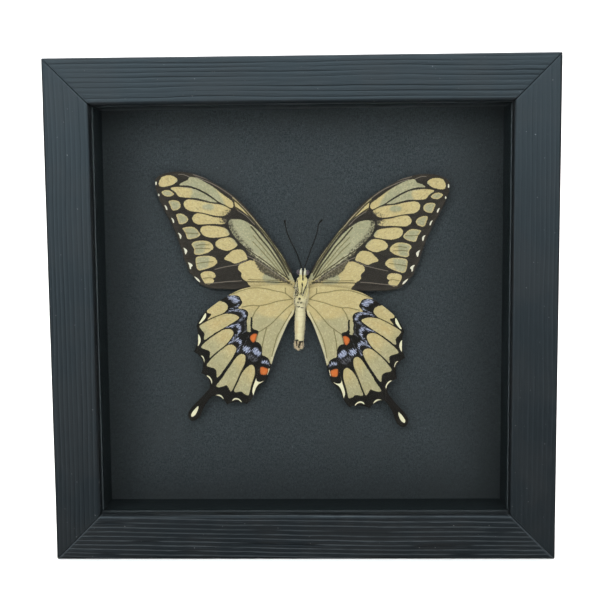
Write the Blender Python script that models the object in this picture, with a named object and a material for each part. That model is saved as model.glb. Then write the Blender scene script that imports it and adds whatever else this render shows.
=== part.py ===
"""Framed butterfly specimen: a giant swallowtail in a small glazed shadow box.

The box stands on its bottom edge with its glass facing -Y. The origin is the middle of its base.
Lengths below are in millimetres; MM turns them into Blender's metres.
"""
import math

import bmesh
import bpy
from mathutils import Vector

MM = 0.001

# Frame
FRAME_WIDTH = 203.2
FRAME_HEIGHT = 202.0
FRAME_DEPTH = 33.0
RAIL_FACE = 18.5
REBATE = 6.5
LIP = 4.6
ARRIS_RADIUS = 1.2
ARRIS_STEPS = 4
MITRE_SETBACK = 0.22
FIT = 0.3

# What the rebate holds, each behind the last
GLASS_THICKNESS = 2.0
BOARD_FRONT = 23.2
BOARD_THICKNESS = 3.0
PANEL_THICKNESS = 3.0

# Retaining points and hanger
POINT_THICKNESS = 0.5
POINT_LENGTH = 9.0
POINT_WIDTH = 6.0
POINT_SPREAD = 45.0
HANGER_WIDTH = 44.0
HANGER_HEIGHT = 8.5
HANGER_THICKNESS = 0.8
HANGER_RISE = 1.2
HANGER_TEETH = 9
HANGER_DROP = 30.0
NAIL_RADIUS = 1.6
NAIL_HEIGHT = 0.8

# Specimen: its centre is the middle of the thorax, given from the middle of the frame
SPECIMEN_X = -1.0
SPECIMEN_Z = 3.5
HINDWING_DEPTH = 19.0
FOREWING_DEPTH = 19.9
ANTENNA_DEPTH = 18.2
BODY_DEPTH = 19.0
WING_THICKNESS = 0.25
FOREWING_LEAN = 1.05
HINDWING_LEAN = 1.9
BODY_LEAN = 2.4
ANTENNA_RADIUS = 0.28
CLUB_RADIUS = 0.5

COLOURS = {
    "stained_wood": ((0.05, 0.065, 0.075), 0.6, 0.0),
    "clear_glass": ((0.9, 0.95, 0.93), 0.05, 0.0),
    "black_spacer": ((0.012, 0.014, 0.016), 0.7, 0.0),
    "black_paper": ((0.035, 0.045, 0.05), 0.9, 0.0),
    "hardboard": ((0.28, 0.17, 0.09), 0.8, 0.0),
    "zinc_steel": ((0.6, 0.6, 0.58), 0.35, 1.0),
    "wing_scales": ((0.72, 0.64, 0.36), 0.7, 0.0),
    "body_scales": ((0.78, 0.7, 0.4), 0.8, 0.0),
    "antenna": ((0.015, 0.013, 0.012), 0.5, 0.0),
}


# ---------------------------------------------------------------- scene and materials

def clear_scene():
    for old in list(bpy.data.objects):
        bpy.data.objects.remove(old, do_unlink=True)


def material(name):
    """The Principled material of that name, made once."""
    found = bpy.data.materials.get(name)
    if found:
        return found
    colour, roughness, metallic = COLOURS[name]
    made = bpy.data.materials.new(name)
    made.use_nodes = True
    shader = made.node_tree.nodes["Principled BSDF"]
    shader.inputs["Base Color"].default_value = (*colour, 1.0)
    shader.inputs["Roughness"].default_value = roughness
    shader.inputs["Metallic"].default_value = metallic
    if name == "clear_glass":
        shader.inputs["Transmission Weight"].default_value = 1.0
    return made


def add_piece(name, shape, slot, parent=None, location=(0.0, 0.0, 0.0), lean=0.0, smooth=False):
    """Turn a bmesh in millimetres into a named object, leaning clockwise by that many degrees."""
    bmesh.ops.scale(shape, vec=(MM, MM, MM), verts=shape.verts)
    bmesh.ops.recalc_face_normals(shape, faces=shape.faces)
    mesh = bpy.data.meshes.new(name)
    shape.to_mesh(mesh)
    shape.free()
    mesh.materials.append(material(slot))
    if smooth:
        mesh.shade_smooth()
        mesh.set_sharp_from_angle(angle=math.radians(50))
    piece = bpy.data.objects.new(name, mesh)
    piece.location = Vector(location) * MM
    piece.rotation_euler = (0.0, math.radians(lean), 0.0)
    piece.parent = parent
    bpy.context.scene.collection.objects.link(piece)
    return piece


# ---------------------------------------------------------------- shape helpers

def y_at(depth):
    """Y of a plane that lies this far behind the front face."""
    return depth - FRAME_DEPTH / 2


def box(low, high):
    """A closed box between two corners."""
    shape = bmesh.new()
    bmesh.ops.create_cube(shape, size=1.0)
    for vert in shape.verts:
        vert.co = [low[i] if vert.co[i] < 0 else high[i] for i in range(3)]
    return shape


def skin(rings, closed_ends=True):
    """Bridge matching rings of points with quads and fill both ends."""
    shape = bmesh.new()
    loops = [[shape.verts.new(point) for point in ring] for ring in rings]
    count = len(loops[0])
    for near, far in zip(loops, loops[1:]):
        for i in range(count):
            j = (i + 1) % count
            shape.faces.new((near[i], near[j], far[j], far[i]))
    if closed_ends:
        shape.faces.new(loops[0])
        shape.faces.new(loops[-1])
    return shape


def plate(outline, thickness):
    """Extrude an outline of (x, z) points along Y, centred on y = 0."""
    back = [(x, thickness / 2, z) for x, z in outline]
    front = [(x, -thickness / 2, z) for x, z in outline]
    return skin([front, back])


def spline(points, steps):
    """Points along a Catmull-Rom curve through the given points, the last one left out."""
    ends = [points[0], *points, points[-1]]
    curve = []
    for before, start, end, after in zip(ends, ends[1:], ends[2:], ends[3:]):
        for step in range(steps):
            t = step / steps
            curve.append(tuple(
                0.5 * (2 * b + (c - a) * t + (2 * a - 5 * b + 4 * c - d) * t ** 2
                       + (3 * b - a - 3 * c + d) * t ** 3)
                for a, b, c, d in zip(before, start, end, after)))
    return curve


def scallops(teeth, dips, steps):
    """Join each tooth to the next with a shallow bay, its depth to the right of the way along."""
    curve = []
    for start, end, dip in zip(teeth, teeth[1:], dips):
        span = Vector(end) - Vector(start)
        inward = Vector((span.y, -span.x)).normalized()
        for step in range(steps):
            t = step / steps
            curve.append(tuple(Vector(start) + span * t + inward * dip * 4 * t * (1 - t)))
    return curve


# ---------------------------------------------------------------- frame

def rail_section():
    """The rail's section as (in from the outer edge, back from the face), rounded at the front."""
    def arc(centre, start_angle):
        angles = [start_angle + 90 * step / ARRIS_STEPS for step in range(ARRIS_STEPS + 1)]
        return [(centre + ARRIS_RADIUS * math.cos(math.radians(a)),
                 ARRIS_RADIUS + ARRIS_RADIUS * math.sin(math.radians(a))) for a in angles]

    return [*arc(ARRIS_RADIUS, 180), *arc(RAIL_FACE - ARRIS_RADIUS, 270),
            (RAIL_FACE, LIP), (RAIL_FACE - REBATE, LIP),
            (RAIL_FACE - REBATE, FRAME_DEPTH), (0.0, FRAME_DEPTH)]


def build_rail(name, along, across, side):
    """A mitred rail: half its length along, half the frame across, on the +1 or -1 side."""
    rings = []
    for end in (-1, 1):
        ring = []
        for inset, depth in rail_section():
            run = end * (along - inset - MITRE_SETBACK)
            offset = side * (across - inset)
            flat = (run, offset) if name in ("rail_top", "rail_bottom") else (offset, run)
            ring.append((flat[0], y_at(depth), flat[1] + FRAME_HEIGHT / 2))
        rings.append(ring)
    return add_piece(name, skin(rings), "stained_wood", smooth=True)


def build_frame():
    half_width = FRAME_WIDTH / 2
    half_height = FRAME_HEIGHT / 2
    build_rail("rail_top", half_width, half_height, 1)
    build_rail("rail_bottom", half_width, half_height, -1)
    build_rail("rail_left", half_height, half_width, -1)
    build_rail("rail_right", half_height, half_width, 1)


def build_sheet(name, slot, front, thickness):
    """A sheet that fills the rebate from side to side."""
    half_width = FRAME_WIDTH / 2 - RAIL_FACE + REBATE - FIT
    half_height = FRAME_HEIGHT / 2 - RAIL_FACE + REBATE - FIT
    middle = FRAME_HEIGHT / 2
    return add_piece(name, box((-half_width, y_at(front), middle - half_height),
                               (half_width, y_at(front + thickness), middle + half_height)), slot)


def build_spacers():
    """Four strips flush with the lip, the upright ones between the level ones."""
    front = y_at(LIP + FIT + GLASS_THICKNESS + FIT)
    back = y_at(BOARD_FRONT - FIT)
    middle = FRAME_HEIGHT / 2
    in_x = FRAME_WIDTH / 2 - RAIL_FACE
    in_z = FRAME_HEIGHT / 2 - RAIL_FACE
    strip = REBATE - FIT
    for name, side in (("spacer_top", 1), ("spacer_bottom", -1)):
        levels = sorted((middle + side * in_z, middle + side * (in_z + strip)))
        add_piece(name, box((-in_x - strip, front, levels[0]), (in_x + strip, back, levels[1])),
                  "black_spacer")
    for name, side in (("spacer_left", -1), ("spacer_right", 1)):
        sides = sorted((side * in_x, side * (in_x + strip)))
        add_piece(name, box((sides[0], front, middle - in_z + FIT), (sides[1], back, middle + in_z - FIT)),
                  "black_spacer")


def build_points(panel_back):
    """Two thin steel points on each side press the panel forwards."""
    outline = [(-POINT_WIDTH / 2, 0.0), (POINT_WIDTH / 2, 0.0), (POINT_WIDTH / 2, POINT_LENGTH * 0.55),
               (0.0, POINT_LENGTH), (-POINT_WIDTH / 2, POINT_LENGTH * 0.55)]
    y = y_at(panel_back + FIT + POINT_THICKNESS / 2)
    number = 0
    for quarter in range(4):
        turn = quarter * 90
        reach = (FRAME_HEIGHT if quarter % 2 == 0 else FRAME_WIDTH) / 2 - RAIL_FACE + REBATE - FIT
        for shift in (-POINT_SPREAD, POINT_SPREAD):
            number += 1
            angle = math.radians(turn)
            x = shift * math.cos(angle) - reach * math.sin(angle)
            z = FRAME_HEIGHT / 2 - shift * math.sin(angle) - reach * math.cos(angle)
            add_piece(f"point_{number}", plate(outline, POINT_THICKNESS), "zinc_steel",
                      location=(x, y, z), lean=turn)


def build_hanger(panel_back):
    """A sawtooth hanger whose toothed middle stands off the panel, and its two nails."""
    half = HANGER_WIDTH / 2
    raised = half - 10.0
    ramp = 2.5
    tooth = 2 * raised / HANGER_TEETH
    columns = [(-half, 0.0, 0.0), (-raised - ramp, 0.0, 0.0)]
    for i in range(HANGER_TEETH):
        x = -raised + i * tooth
        columns.append((x, HANGER_RISE, 0.0))
        columns.append((x + tooth / 2, HANGER_RISE, 1.4))
    columns.append((raised, HANGER_RISE, 0.0))
    columns.append((raised + ramp, 0.0, 0.0))
    columns.append((half, 0.0, 0.0))
    level = FRAME_HEIGHT - RAIL_FACE - HANGER_DROP
    front = y_at(panel_back + FIT)
    rings = []
    for x, rise, notch in columns:
        near = front + rise
        far = near + HANGER_THICKNESS
        low = level + notch
        high = level + HANGER_HEIGHT
        rings.append([(x, near, low), (x, far, low), (x, far, high), (x, near, high)])
    add_piece("sawtooth_hanger", skin(rings), "zinc_steel")
    nail_y = front + HANGER_THICKNESS + FIT
    for name, side in (("hanger_nail_left", -1), ("hanger_nail_right", 1)):
        shape = bmesh.new()
        bmesh.ops.create_cone(shape, cap_ends=True, segments=16, radius1=NAIL_RADIUS,
                              radius2=NAIL_RADIUS * 0.6, depth=NAIL_HEIGHT)
        for vert in shape.verts:
            vert.co = (vert.co.x, vert.co.z, vert.co.y)
        add_piece(name, shape, "zinc_steel", smooth=True,
                  location=(side * (half - 3.5), nail_y + NAIL_HEIGHT / 2, level + HANGER_HEIGHT / 2))


# ---------------------------------------------------------------- specimen

def forewing_outline():
    """The forewing as (out, up) from the thorax: front edge, scalloped outer edge, rear edge."""
    front_edge = [(3.1, 8.6), (5.0, 14.0), (8.8, 20.1), (16.2, 30.0), (26.0, 41.2), (38.0, 48.9),
                  (46.5, 52.1), (54.0, 52.4), (58.9, 50.9), (60.9, 48.9)]
    teeth = [(60.9, 48.9), (60.5, 45.2), (58.9, 40.5), (56.3, 35.2), (53.3, 29.4), (50.8, 23.1),
             (48.9, 16.7), (46.6, 10.8), (42.1, 6.0)]
    rear_edge = [(42.1, 6.0), (38.0, 4.5), (30.0, 4.1), (16.0, 4.2), (6.0, 4.8), (3.5, 6.4), (3.1, 8.6)]
    return spline(front_edge, 4) + scallops(teeth, [0.2] * 8, 3) + spline(rear_edge, 4)


def hindwing_outline():
    """The hindwing as (out, up): front edge, scalloped outer edge with its tail, inner edge."""
    front_edge = [(3.3, 0.0), (3.7, 4.0), (6.0, 5.8), (12.0, 6.1), (20.5, 5.0), (26.0, 3.4),
                  (32.0, 0.0), (38.0, -4.5), (41.3, -7.9), (43.4, -12.0)]
    outer_teeth = [(43.4, -12.0), (44.3, -23.0), (41.2, -32.0), (37.4, -38.3)]
    tail = [(37.4, -38.3), (41.3, -42.8), (44.8, -46.6), (46.4, -49.8), (45.0, -52.3), (42.2, -50.9),
            (39.7, -45.6), (36.6, -41.9), (35.2, -41.5)]
    lower_teeth = [(35.2, -41.5), (30.0, -45.0), (21.6, -44.6)]
    inner_edge = [(21.6, -44.6), (19.2, -41.8), (17.2, -37.6), (13.8, -34.0), (12.0, -29.0),
                  (10.0, -21.9), (5.3, -10.0), (3.3, -5.6), (3.3, 0.0)]
    return (spline(front_edge, 4) + scallops(outer_teeth, [1.2, 2.2, 1.6], 5) + spline(tail, 4)
            + scallops(lower_teeth, [0.9, 1.1], 5) + spline(inner_edge, 4))


def build_wings(centre):
    for name, outline, depth, lean in (
            ("forewing", forewing_outline(), FOREWING_DEPTH, FOREWING_LEAN),
            ("hindwing", hindwing_outline(), HINDWING_DEPTH, HINDWING_LEAN)):
        for side_name, side in (("left", -1), ("right", 1)):
            mirrored = [(side * x, z) for x, z in outline]
            add_piece(f"{name}_{side_name}", plate(mirrored, WING_THICKNESS), "wing_scales",
                      parent=centre, location=(0.0, y_at(depth), 0.0), lean=lean)


def build_body(centre):
    """Head, thorax and abdomen, one lofted piece of oval rings from the palps down."""
    # height, half width, half depth, how far the ring's middle lies in front of the body's
    stations = [(13.8, 0.5, 0.5, 1.2), (13.2, 1.1, 0.9, 1.2), (12.0, 2.2, 1.6, 0.9), (10.8, 2.4, 1.9, 0.6),
                (9.9, 1.9, 1.9, 0.4), (9.0, 2.3, 2.6, 0.0), (7.0, 2.6, 3.3, -0.1), (4.0, 2.7, 3.6, -0.1),
                (1.0, 2.7, 3.6, -0.1), (-1.5, 2.6, 3.2, 0.0), (-3.2, 2.3, 2.6, 0.1), (-5.0, 2.4, 2.6, 0.1),
                (-9.0, 2.4, 2.6, 0.0), (-13.0, 2.2, 2.4, -0.1), (-16.5, 2.0, 2.2, -0.2),
                (-18.0, 2.2, 2.1, -0.2), (-19.6, 1.9, 1.7, -0.2), (-20.8, 1.0, 1.0, -0.2),
                (-21.4, 0.3, 0.3, -0.2)]
    sides = 20
    rings = []
    for height, half_width, half_depth, forward in stations:
        ring = []
        for i in range(sides):
            angle = 2 * math.pi * i / sides
            ring.append((half_width * math.cos(angle), half_depth * math.sin(angle) - forward, height))
        rings.append(ring)
    add_piece("body", skin(rings), "body_scales", parent=centre, smooth=True,
              location=(0.0, y_at(BODY_DEPTH), 0.0), lean=BODY_LEAN)


def build_antennae(centre):
    """Two fine feelers, each swelling to a small club at its tip."""
    routes = {
        "antenna_left": [(0.0, 14.9), (-1.4, 19.2), (-4.0, 24.6), (-5.4, 28.0), (-6.1, 31.0), (-6.4, 33.5)],
        "antenna_right": [(2.0, 14.4), (4.0, 20.0), (5.8, 24.6), (7.1, 28.7), (7.6, 31.4), (9.3, 33.5)],
    }
    sides = 8
    for name, route in routes.items():
        points = spline(route, 4) + [route[-1]]
        rings = []
        for i, (x, z) in enumerate(points):
            ahead = Vector(points[min(i + 1, len(points) - 1)]) - Vector(points[max(i - 1, 0)])
            normal = Vector((ahead.y, -ahead.x)).normalized()
            club = max(0.0, 1.0 - (len(points) - 1 - i) / 4)
            radius = ANTENNA_RADIUS + (CLUB_RADIUS - ANTENNA_RADIUS) * math.sin(math.pi * min(club, 0.8))
            ring = []
            for k in range(sides):
                angle = 2 * math.pi * k / sides
                across = radius * math.cos(angle)
                ring.append((x + normal.x * across, radius * math.sin(angle), z + normal.y * across))
            rings.append(ring)
        add_piece(name, skin(rings), "antenna", parent=centre, smooth=True,
                  location=(0.0, y_at(ANTENNA_DEPTH), 0.0))


def main():
    clear_scene()
    build_frame()
    build_sheet("glass", "clear_glass", LIP + FIT, GLASS_THICKNESS)
    build_spacers()
    build_sheet("mount_board", "black_paper", BOARD_FRONT, BOARD_THICKNESS)
    panel_front = BOARD_FRONT + BOARD_THICKNESS + FIT
    build_sheet("back_panel", "hardboard", panel_front, PANEL_THICKNESS)
    build_points(panel_front + PANEL_THICKNESS)
    build_hanger(panel_front + PANEL_THICKNESS)

    centre = bpy.data.objects.new("specimen_centre", None)
    centre.location = Vector((SPECIMEN_X, 0.0, FRAME_HEIGHT / 2 + SPECIMEN_Z)) * MM
    bpy.context.scene.collection.objects.link(centre)
    build_body(centre)
    build_wings(centre)
    build_antennae(centre)


main()
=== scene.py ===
"""The looks of the framed butterfly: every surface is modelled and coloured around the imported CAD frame."""
import math

import bmesh
import bpy
import numpy as np
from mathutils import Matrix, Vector


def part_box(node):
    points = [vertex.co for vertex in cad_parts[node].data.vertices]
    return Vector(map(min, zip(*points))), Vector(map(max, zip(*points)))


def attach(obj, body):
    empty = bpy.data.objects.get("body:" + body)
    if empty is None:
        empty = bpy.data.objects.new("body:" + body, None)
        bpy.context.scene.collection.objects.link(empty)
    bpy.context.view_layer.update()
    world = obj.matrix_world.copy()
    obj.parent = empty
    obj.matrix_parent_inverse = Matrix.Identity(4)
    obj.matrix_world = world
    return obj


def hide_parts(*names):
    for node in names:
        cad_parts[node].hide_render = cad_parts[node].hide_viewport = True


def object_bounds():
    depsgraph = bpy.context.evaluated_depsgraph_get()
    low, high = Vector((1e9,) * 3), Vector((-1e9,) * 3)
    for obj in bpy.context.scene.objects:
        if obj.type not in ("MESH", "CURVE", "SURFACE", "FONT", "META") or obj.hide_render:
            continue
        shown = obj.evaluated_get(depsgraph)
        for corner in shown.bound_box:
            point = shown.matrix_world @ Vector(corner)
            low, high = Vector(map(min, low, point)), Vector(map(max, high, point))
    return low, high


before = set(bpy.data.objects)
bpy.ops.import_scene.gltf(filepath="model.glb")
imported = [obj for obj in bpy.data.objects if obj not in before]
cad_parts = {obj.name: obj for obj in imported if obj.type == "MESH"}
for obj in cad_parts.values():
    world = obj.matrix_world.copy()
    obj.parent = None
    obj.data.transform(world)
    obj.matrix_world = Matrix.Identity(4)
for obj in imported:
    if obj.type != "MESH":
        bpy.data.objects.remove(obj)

CAD_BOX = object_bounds()
BODY = "root"
MM = 0.001
SEED = 7

# Lengths are millimetres. The specimen is drawn out from its thorax and up from it, and leans by degrees.
SPECIMEN_OFFSET = (-1.0, 3.5)
FOREWING_LEAN = 1.05
HINDWING_LEAN = 1.9
BODY_LEAN = 2.4
# How far the head moves sideways for each millimetre up.
HEAD_TURN = 0.042
WING_SPACING = 0.28
WING_THICKNESS = 0.12
# How far the scales of the wings and the body are darkened.
SCALE_DULLNESS = 0.24


# ---------------------------------------------------------------- shader building

class Shader:
    """A material whose nodes are made by short calls that return output sockets."""

    def __init__(self, name, roughness=0.6, **values):
        self.material = bpy.data.materials.new(name)
        self.material.use_nodes = True
        self.tree = self.material.node_tree
        self.surface = self.tree.nodes["Principled BSDF"]
        self.output = self.tree.nodes["Material Output"]
        self.surface.inputs["Roughness"].default_value = roughness
        for socket, value in values.items():
            self.surface.inputs[socket.replace("_", " ")].default_value = value

    def node(self, kind, inputs=(), **settings):
        made = self.tree.nodes.new(kind)
        for key, value in settings.items():
            setattr(made, key, value)
        for key, value in dict(inputs).items():
            socket = made.inputs[key]
            if isinstance(value, bpy.types.NodeSocket):
                self.tree.links.new(value, socket)
            else:
                socket.default_value = value
        return made

    def set(self, socket, value):
        self.tree.links.new(value, self.surface.inputs[socket])

    def place(self, scale=(1.0, 1.0, 1.0)):
        """The piece's own coordinates in millimetres, stretched by scale."""
        where = self.node("ShaderNodeTexCoord").outputs["Object"]
        factors = [part / MM for part in scale]
        return self.node("ShaderNodeVectorMath", {0: where, 1: factors}, operation="MULTIPLY").outputs[0]

    def part(self, vector, axis):
        return self.node("ShaderNodeSeparateXYZ", {0: vector}).outputs[axis]

    def math(self, operation, a, b=0.0, clamp=False):
        return self.node("ShaderNodeMath", {0: a, 1: b}, operation=operation, use_clamp=clamp).outputs[0]

    def plus(self, a, b, clamp=False):
        return self.math("ADD", a, b, clamp)

    def minus(self, a, b):
        return self.math("SUBTRACT", a, b)

    def times(self, a, b):
        return self.math("MULTIPLY", a, b)

    def swing(self, noise, amount):
        """Noise about 0.5 turned into noise about 0, times an amount."""
        return self.times(self.minus(noise, 0.5), amount)

    def noise(self, vector, scale, detail=3.0, roughness=0.55, distortion=0.0):
        """Noise from 0 to 1, its scale in features for each unit of the vector."""
        inputs = {"Vector": vector, "Scale": scale, "Detail": detail, "Roughness": roughness,
                  "Distortion": distortion}
        return self.node("ShaderNodeTexNoise", inputs).outputs["Fac"]

    def attribute(self, name):
        return self.node("ShaderNodeAttribute", attribute_name=name).outputs["Fac"]

    def step(self, value, low, high, start=0.0, end=1.0):
        """A smooth step from start to end as value goes from low to high."""
        inputs = {"Value": value, "From Min": low, "From Max": high, "To Min": start, "To Max": end}
        return self.node("ShaderNodeMapRange", inputs, interpolation_type="SMOOTHSTEP").outputs["Result"]

    def mix(self, factor, a, b):
        """Colour a where the factor is 0 and colour b where it is 1."""
        made = self.node("ShaderNodeMix", data_type="RGBA")
        for key, value in (("Factor_Float", factor), ("A_Color", a), ("B_Color", b)):
            socket = next(s for s in made.inputs if s.identifier == key)
            if isinstance(value, bpy.types.NodeSocket):
                self.tree.links.new(value, socket)
            else:
                socket.default_value = value if key == "Factor_Float" else (*value, 1.0)
        return next(s for s in made.outputs if s.identifier == "Result_Color")

    def bump(self, height, distance, strength=1.0):
        inputs = {"Height": height, "Distance": distance * MM, "Strength": strength}
        self.set("Normal", self.node("ShaderNodeBump", inputs).outputs[0])


# ---------------------------------------------------------------- meshes

def new_piece(name, vertices, faces, material, smooth=True, sharp=None):
    """A mesh object from points in metres, riding on the body."""
    mesh = bpy.data.meshes.new(name)
    mesh.from_pydata([tuple(v) for v in vertices], [], [tuple(f) for f in faces])
    mesh.materials.append(material)
    mesh.polygons.foreach_set("use_smooth", [smooth] * len(mesh.polygons))
    if sharp is not None:
        mesh.set_sharp_from_angle(angle=math.radians(sharp))
    mesh.update()
    piece = bpy.data.objects.new(name, mesh)
    bpy.context.scene.collection.objects.link(piece)
    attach(piece, BODY)
    return piece


def add_values(piece, **layers):
    """Store one number per vertex under each name."""
    for name, values in layers.items():
        layer = piece.data.attributes.new(name, "FLOAT", "POINT")
        layer.data.foreach_set("value", np.asarray(values, np.float32))


def spline(points, steps=4, closed=False):
    """Points along a Catmull-Rom curve through the given points."""
    given = np.asarray(points, float)
    if closed:
        before, start, end, after = (np.roll(given, k, axis=0) for k in (1, 0, -1, -2))
    else:
        padded = np.vstack([given[:1], given, given[-1:]])
        before, start, end, after = padded[:-3], padded[1:-2], padded[2:-1], padded[3:]
    t = (np.arange(steps) / steps)[None, :, None]
    a, b, c, d = (part[:, None, :] for part in (before, start, end, after))
    curve = 0.5 * (2 * b + (c - a) * t + (2 * a - 5 * b + 4 * c - d) * t ** 2
                   + (3 * b - a - 3 * c + d) * t ** 3)
    curve = curve.reshape(-1, given.shape[1])
    return curve if closed else np.vstack([curve, given[-1:]])


def scallops(teeth, dips, steps):
    """Join each tooth to the next with a shallow bay."""
    curve = []
    for start, end, dip in zip(teeth, teeth[1:], dips):
        span = Vector(end) - Vector(start)
        inward = Vector((span.y, -span.x)).normalized()
        for step in range(steps):
            t = step / steps
            curve.append(tuple(Vector(start) + span * t + inward * dip * 4 * t * (1 - t)))
    return curve


def line_distance(points, line, closed=False):
    """Distance of each point from a line of straight runs."""
    starts = line if closed else line[:-1]
    ends = np.roll(line, -1, axis=0) if closed else line[1:]
    best = np.full(len(points), np.inf)
    for start, end in zip(starts, ends):
        run = end - start
        along = np.clip((points - start) @ run / max(run @ run, 1e-12), 0, 1)
        gap = points - start - along[:, None] * run
        best = np.minimum(best, (gap ** 2).sum(1))
    return np.sqrt(best)


def inside(points, ring):
    """Whether each point lies inside a closed ring."""
    result = np.zeros(len(points), bool)
    x, y = points.T
    for (x0, y0), (x1, y1) in zip(ring, np.roll(ring, -1, axis=0)):
        crosses = (y0 > y) != (y1 > y)
        with np.errstate(divide="ignore", invalid="ignore"):
            result ^= crosses & (x < (x1 - x0) * (y - y0) / (y1 - y0) + x0)
    return result


def depth_inside(points, ring, reach=3.0):
    """How far each point lies inside a ring: negative outside, and at most reach away."""
    low, high = ring.min(0) - reach, ring.max(0) + reach
    near = ((points > low) & (points < high)).all(1)
    result = np.full(len(points), -reach)
    close = points[near]
    distance = np.minimum(line_distance(close, ring, closed=True), reach)
    result[near] = np.where(inside(close, ring), distance, -distance)
    return result


def blobs(points, shapes, reach=3.0):
    """Depth inside the union of several rounded shapes."""
    result = np.full(len(points), -reach)
    for shape in shapes:
        result = np.maximum(result, depth_inside(points, spline(shape, 4, closed=True), reach))
    return result


def soft(value, low, high):
    """A smooth step from 0 to 1 as value goes from low to high."""
    t = np.clip((value - low) / (high - low), 0, 1)
    return t * t * (3 - 2 * t)


# Large primes that scatter whole numbers, and the largest number kept.
SCATTER = (374761393, 668265263, 362437, 1274126177)
LARGEST = 0x7FFFFFFF


def chance(column, row, seed):
    """A fixed random number from 0 to 1 for each whole-numbered place."""
    by_column, by_row, by_seed, again = SCATTER
    mixed = column.astype(np.int64) * by_column + row.astype(np.int64) * by_row + seed * by_seed
    mixed = mixed & LARGEST
    mixed = ((mixed ^ (mixed >> 13)) * again) & LARGEST
    return ((mixed ^ (mixed >> 16)) & 0xFFFF) / 0xFFFF


def smooth_noise(x, y, seed):
    """Smooth random hills from -1 to 1, one to each unit of x and of y."""
    left, low = np.floor(x), np.floor(y)
    across, up = soft(x - left, 0, 1), soft(y - low, 0, 1)
    bottom = chance(left, low, seed) * (1 - across) + chance(left + 1, low, seed) * across
    top = chance(left, low + 1, seed) * (1 - across) + chance(left + 1, low + 1, seed) * across
    return 2 * (bottom * (1 - up) + top * up) - 1


# ---------------------------------------------------------------- wing outlines and markings

def forewing_outline():
    front = [(2.4, 6.8), (3.3, 9.6), (5.0, 14.0), (8.8, 20.1), (16.2, 30.0), (26.0, 41.2), (38.0, 48.9),
             (46.5, 52.1), (54.0, 52.4), (58.9, 50.9), (60.9, 48.9)]
    teeth = [(60.9, 48.9), (60.5, 45.2), (58.9, 40.5), (56.3, 35.2), (53.3, 29.4), (50.8, 23.1),
             (48.9, 16.7), (46.6, 10.8), (42.1, 6.0)]
    rear = [(42.1, 6.0), (38.0, 4.5), (30.0, 4.1), (16.0, 4.2), (6.0, 4.6), (3.2, 5.0), (2.4, 6.8)]
    return np.vstack([spline(front, 8)[:-1], scallops(teeth, [0.2] * 8, 8), spline(rear, 8)[:-1]])


def hindwing_outline():
    front = [(2.3, 0.0), (2.5, 4.2), (6.0, 5.9), (12.0, 6.1), (20.5, 5.0), (26.0, 3.4),
             (32.0, 0.0), (38.0, -4.5), (41.3, -7.9), (43.4, -12.0)]
    outer = [(43.4, -12.0), (44.3, -23.0), (41.2, -32.0), (37.4, -38.3)]
    tail = [(37.4, -38.3), (41.3, -42.8), (44.8, -46.6), (46.4, -49.8), (44.9, -52.5), (41.8, -51.1),
            (39.4, -45.8), (36.6, -41.9), (35.2, -41.5)]
    lower = [(35.2, -41.5), (30.0, -45.0), (21.6, -44.6)]
    inner = [(21.6, -44.6), (19.2, -41.8), (17.2, -37.6), (13.8, -34.0), (12.0, -29.0),
             (10.0, -21.9), (5.3, -10.0), (2.7, -5.4), (2.3, 0.0)]
    return np.vstack([spline(front, 8)[:-1], scallops(outer, [1.2, 2.2, 1.6], 12), spline(tail, 8)[:-1],
                      scallops(lower, [0.9, 1.1], 12), spline(inner, 8)[:-1]])


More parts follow.
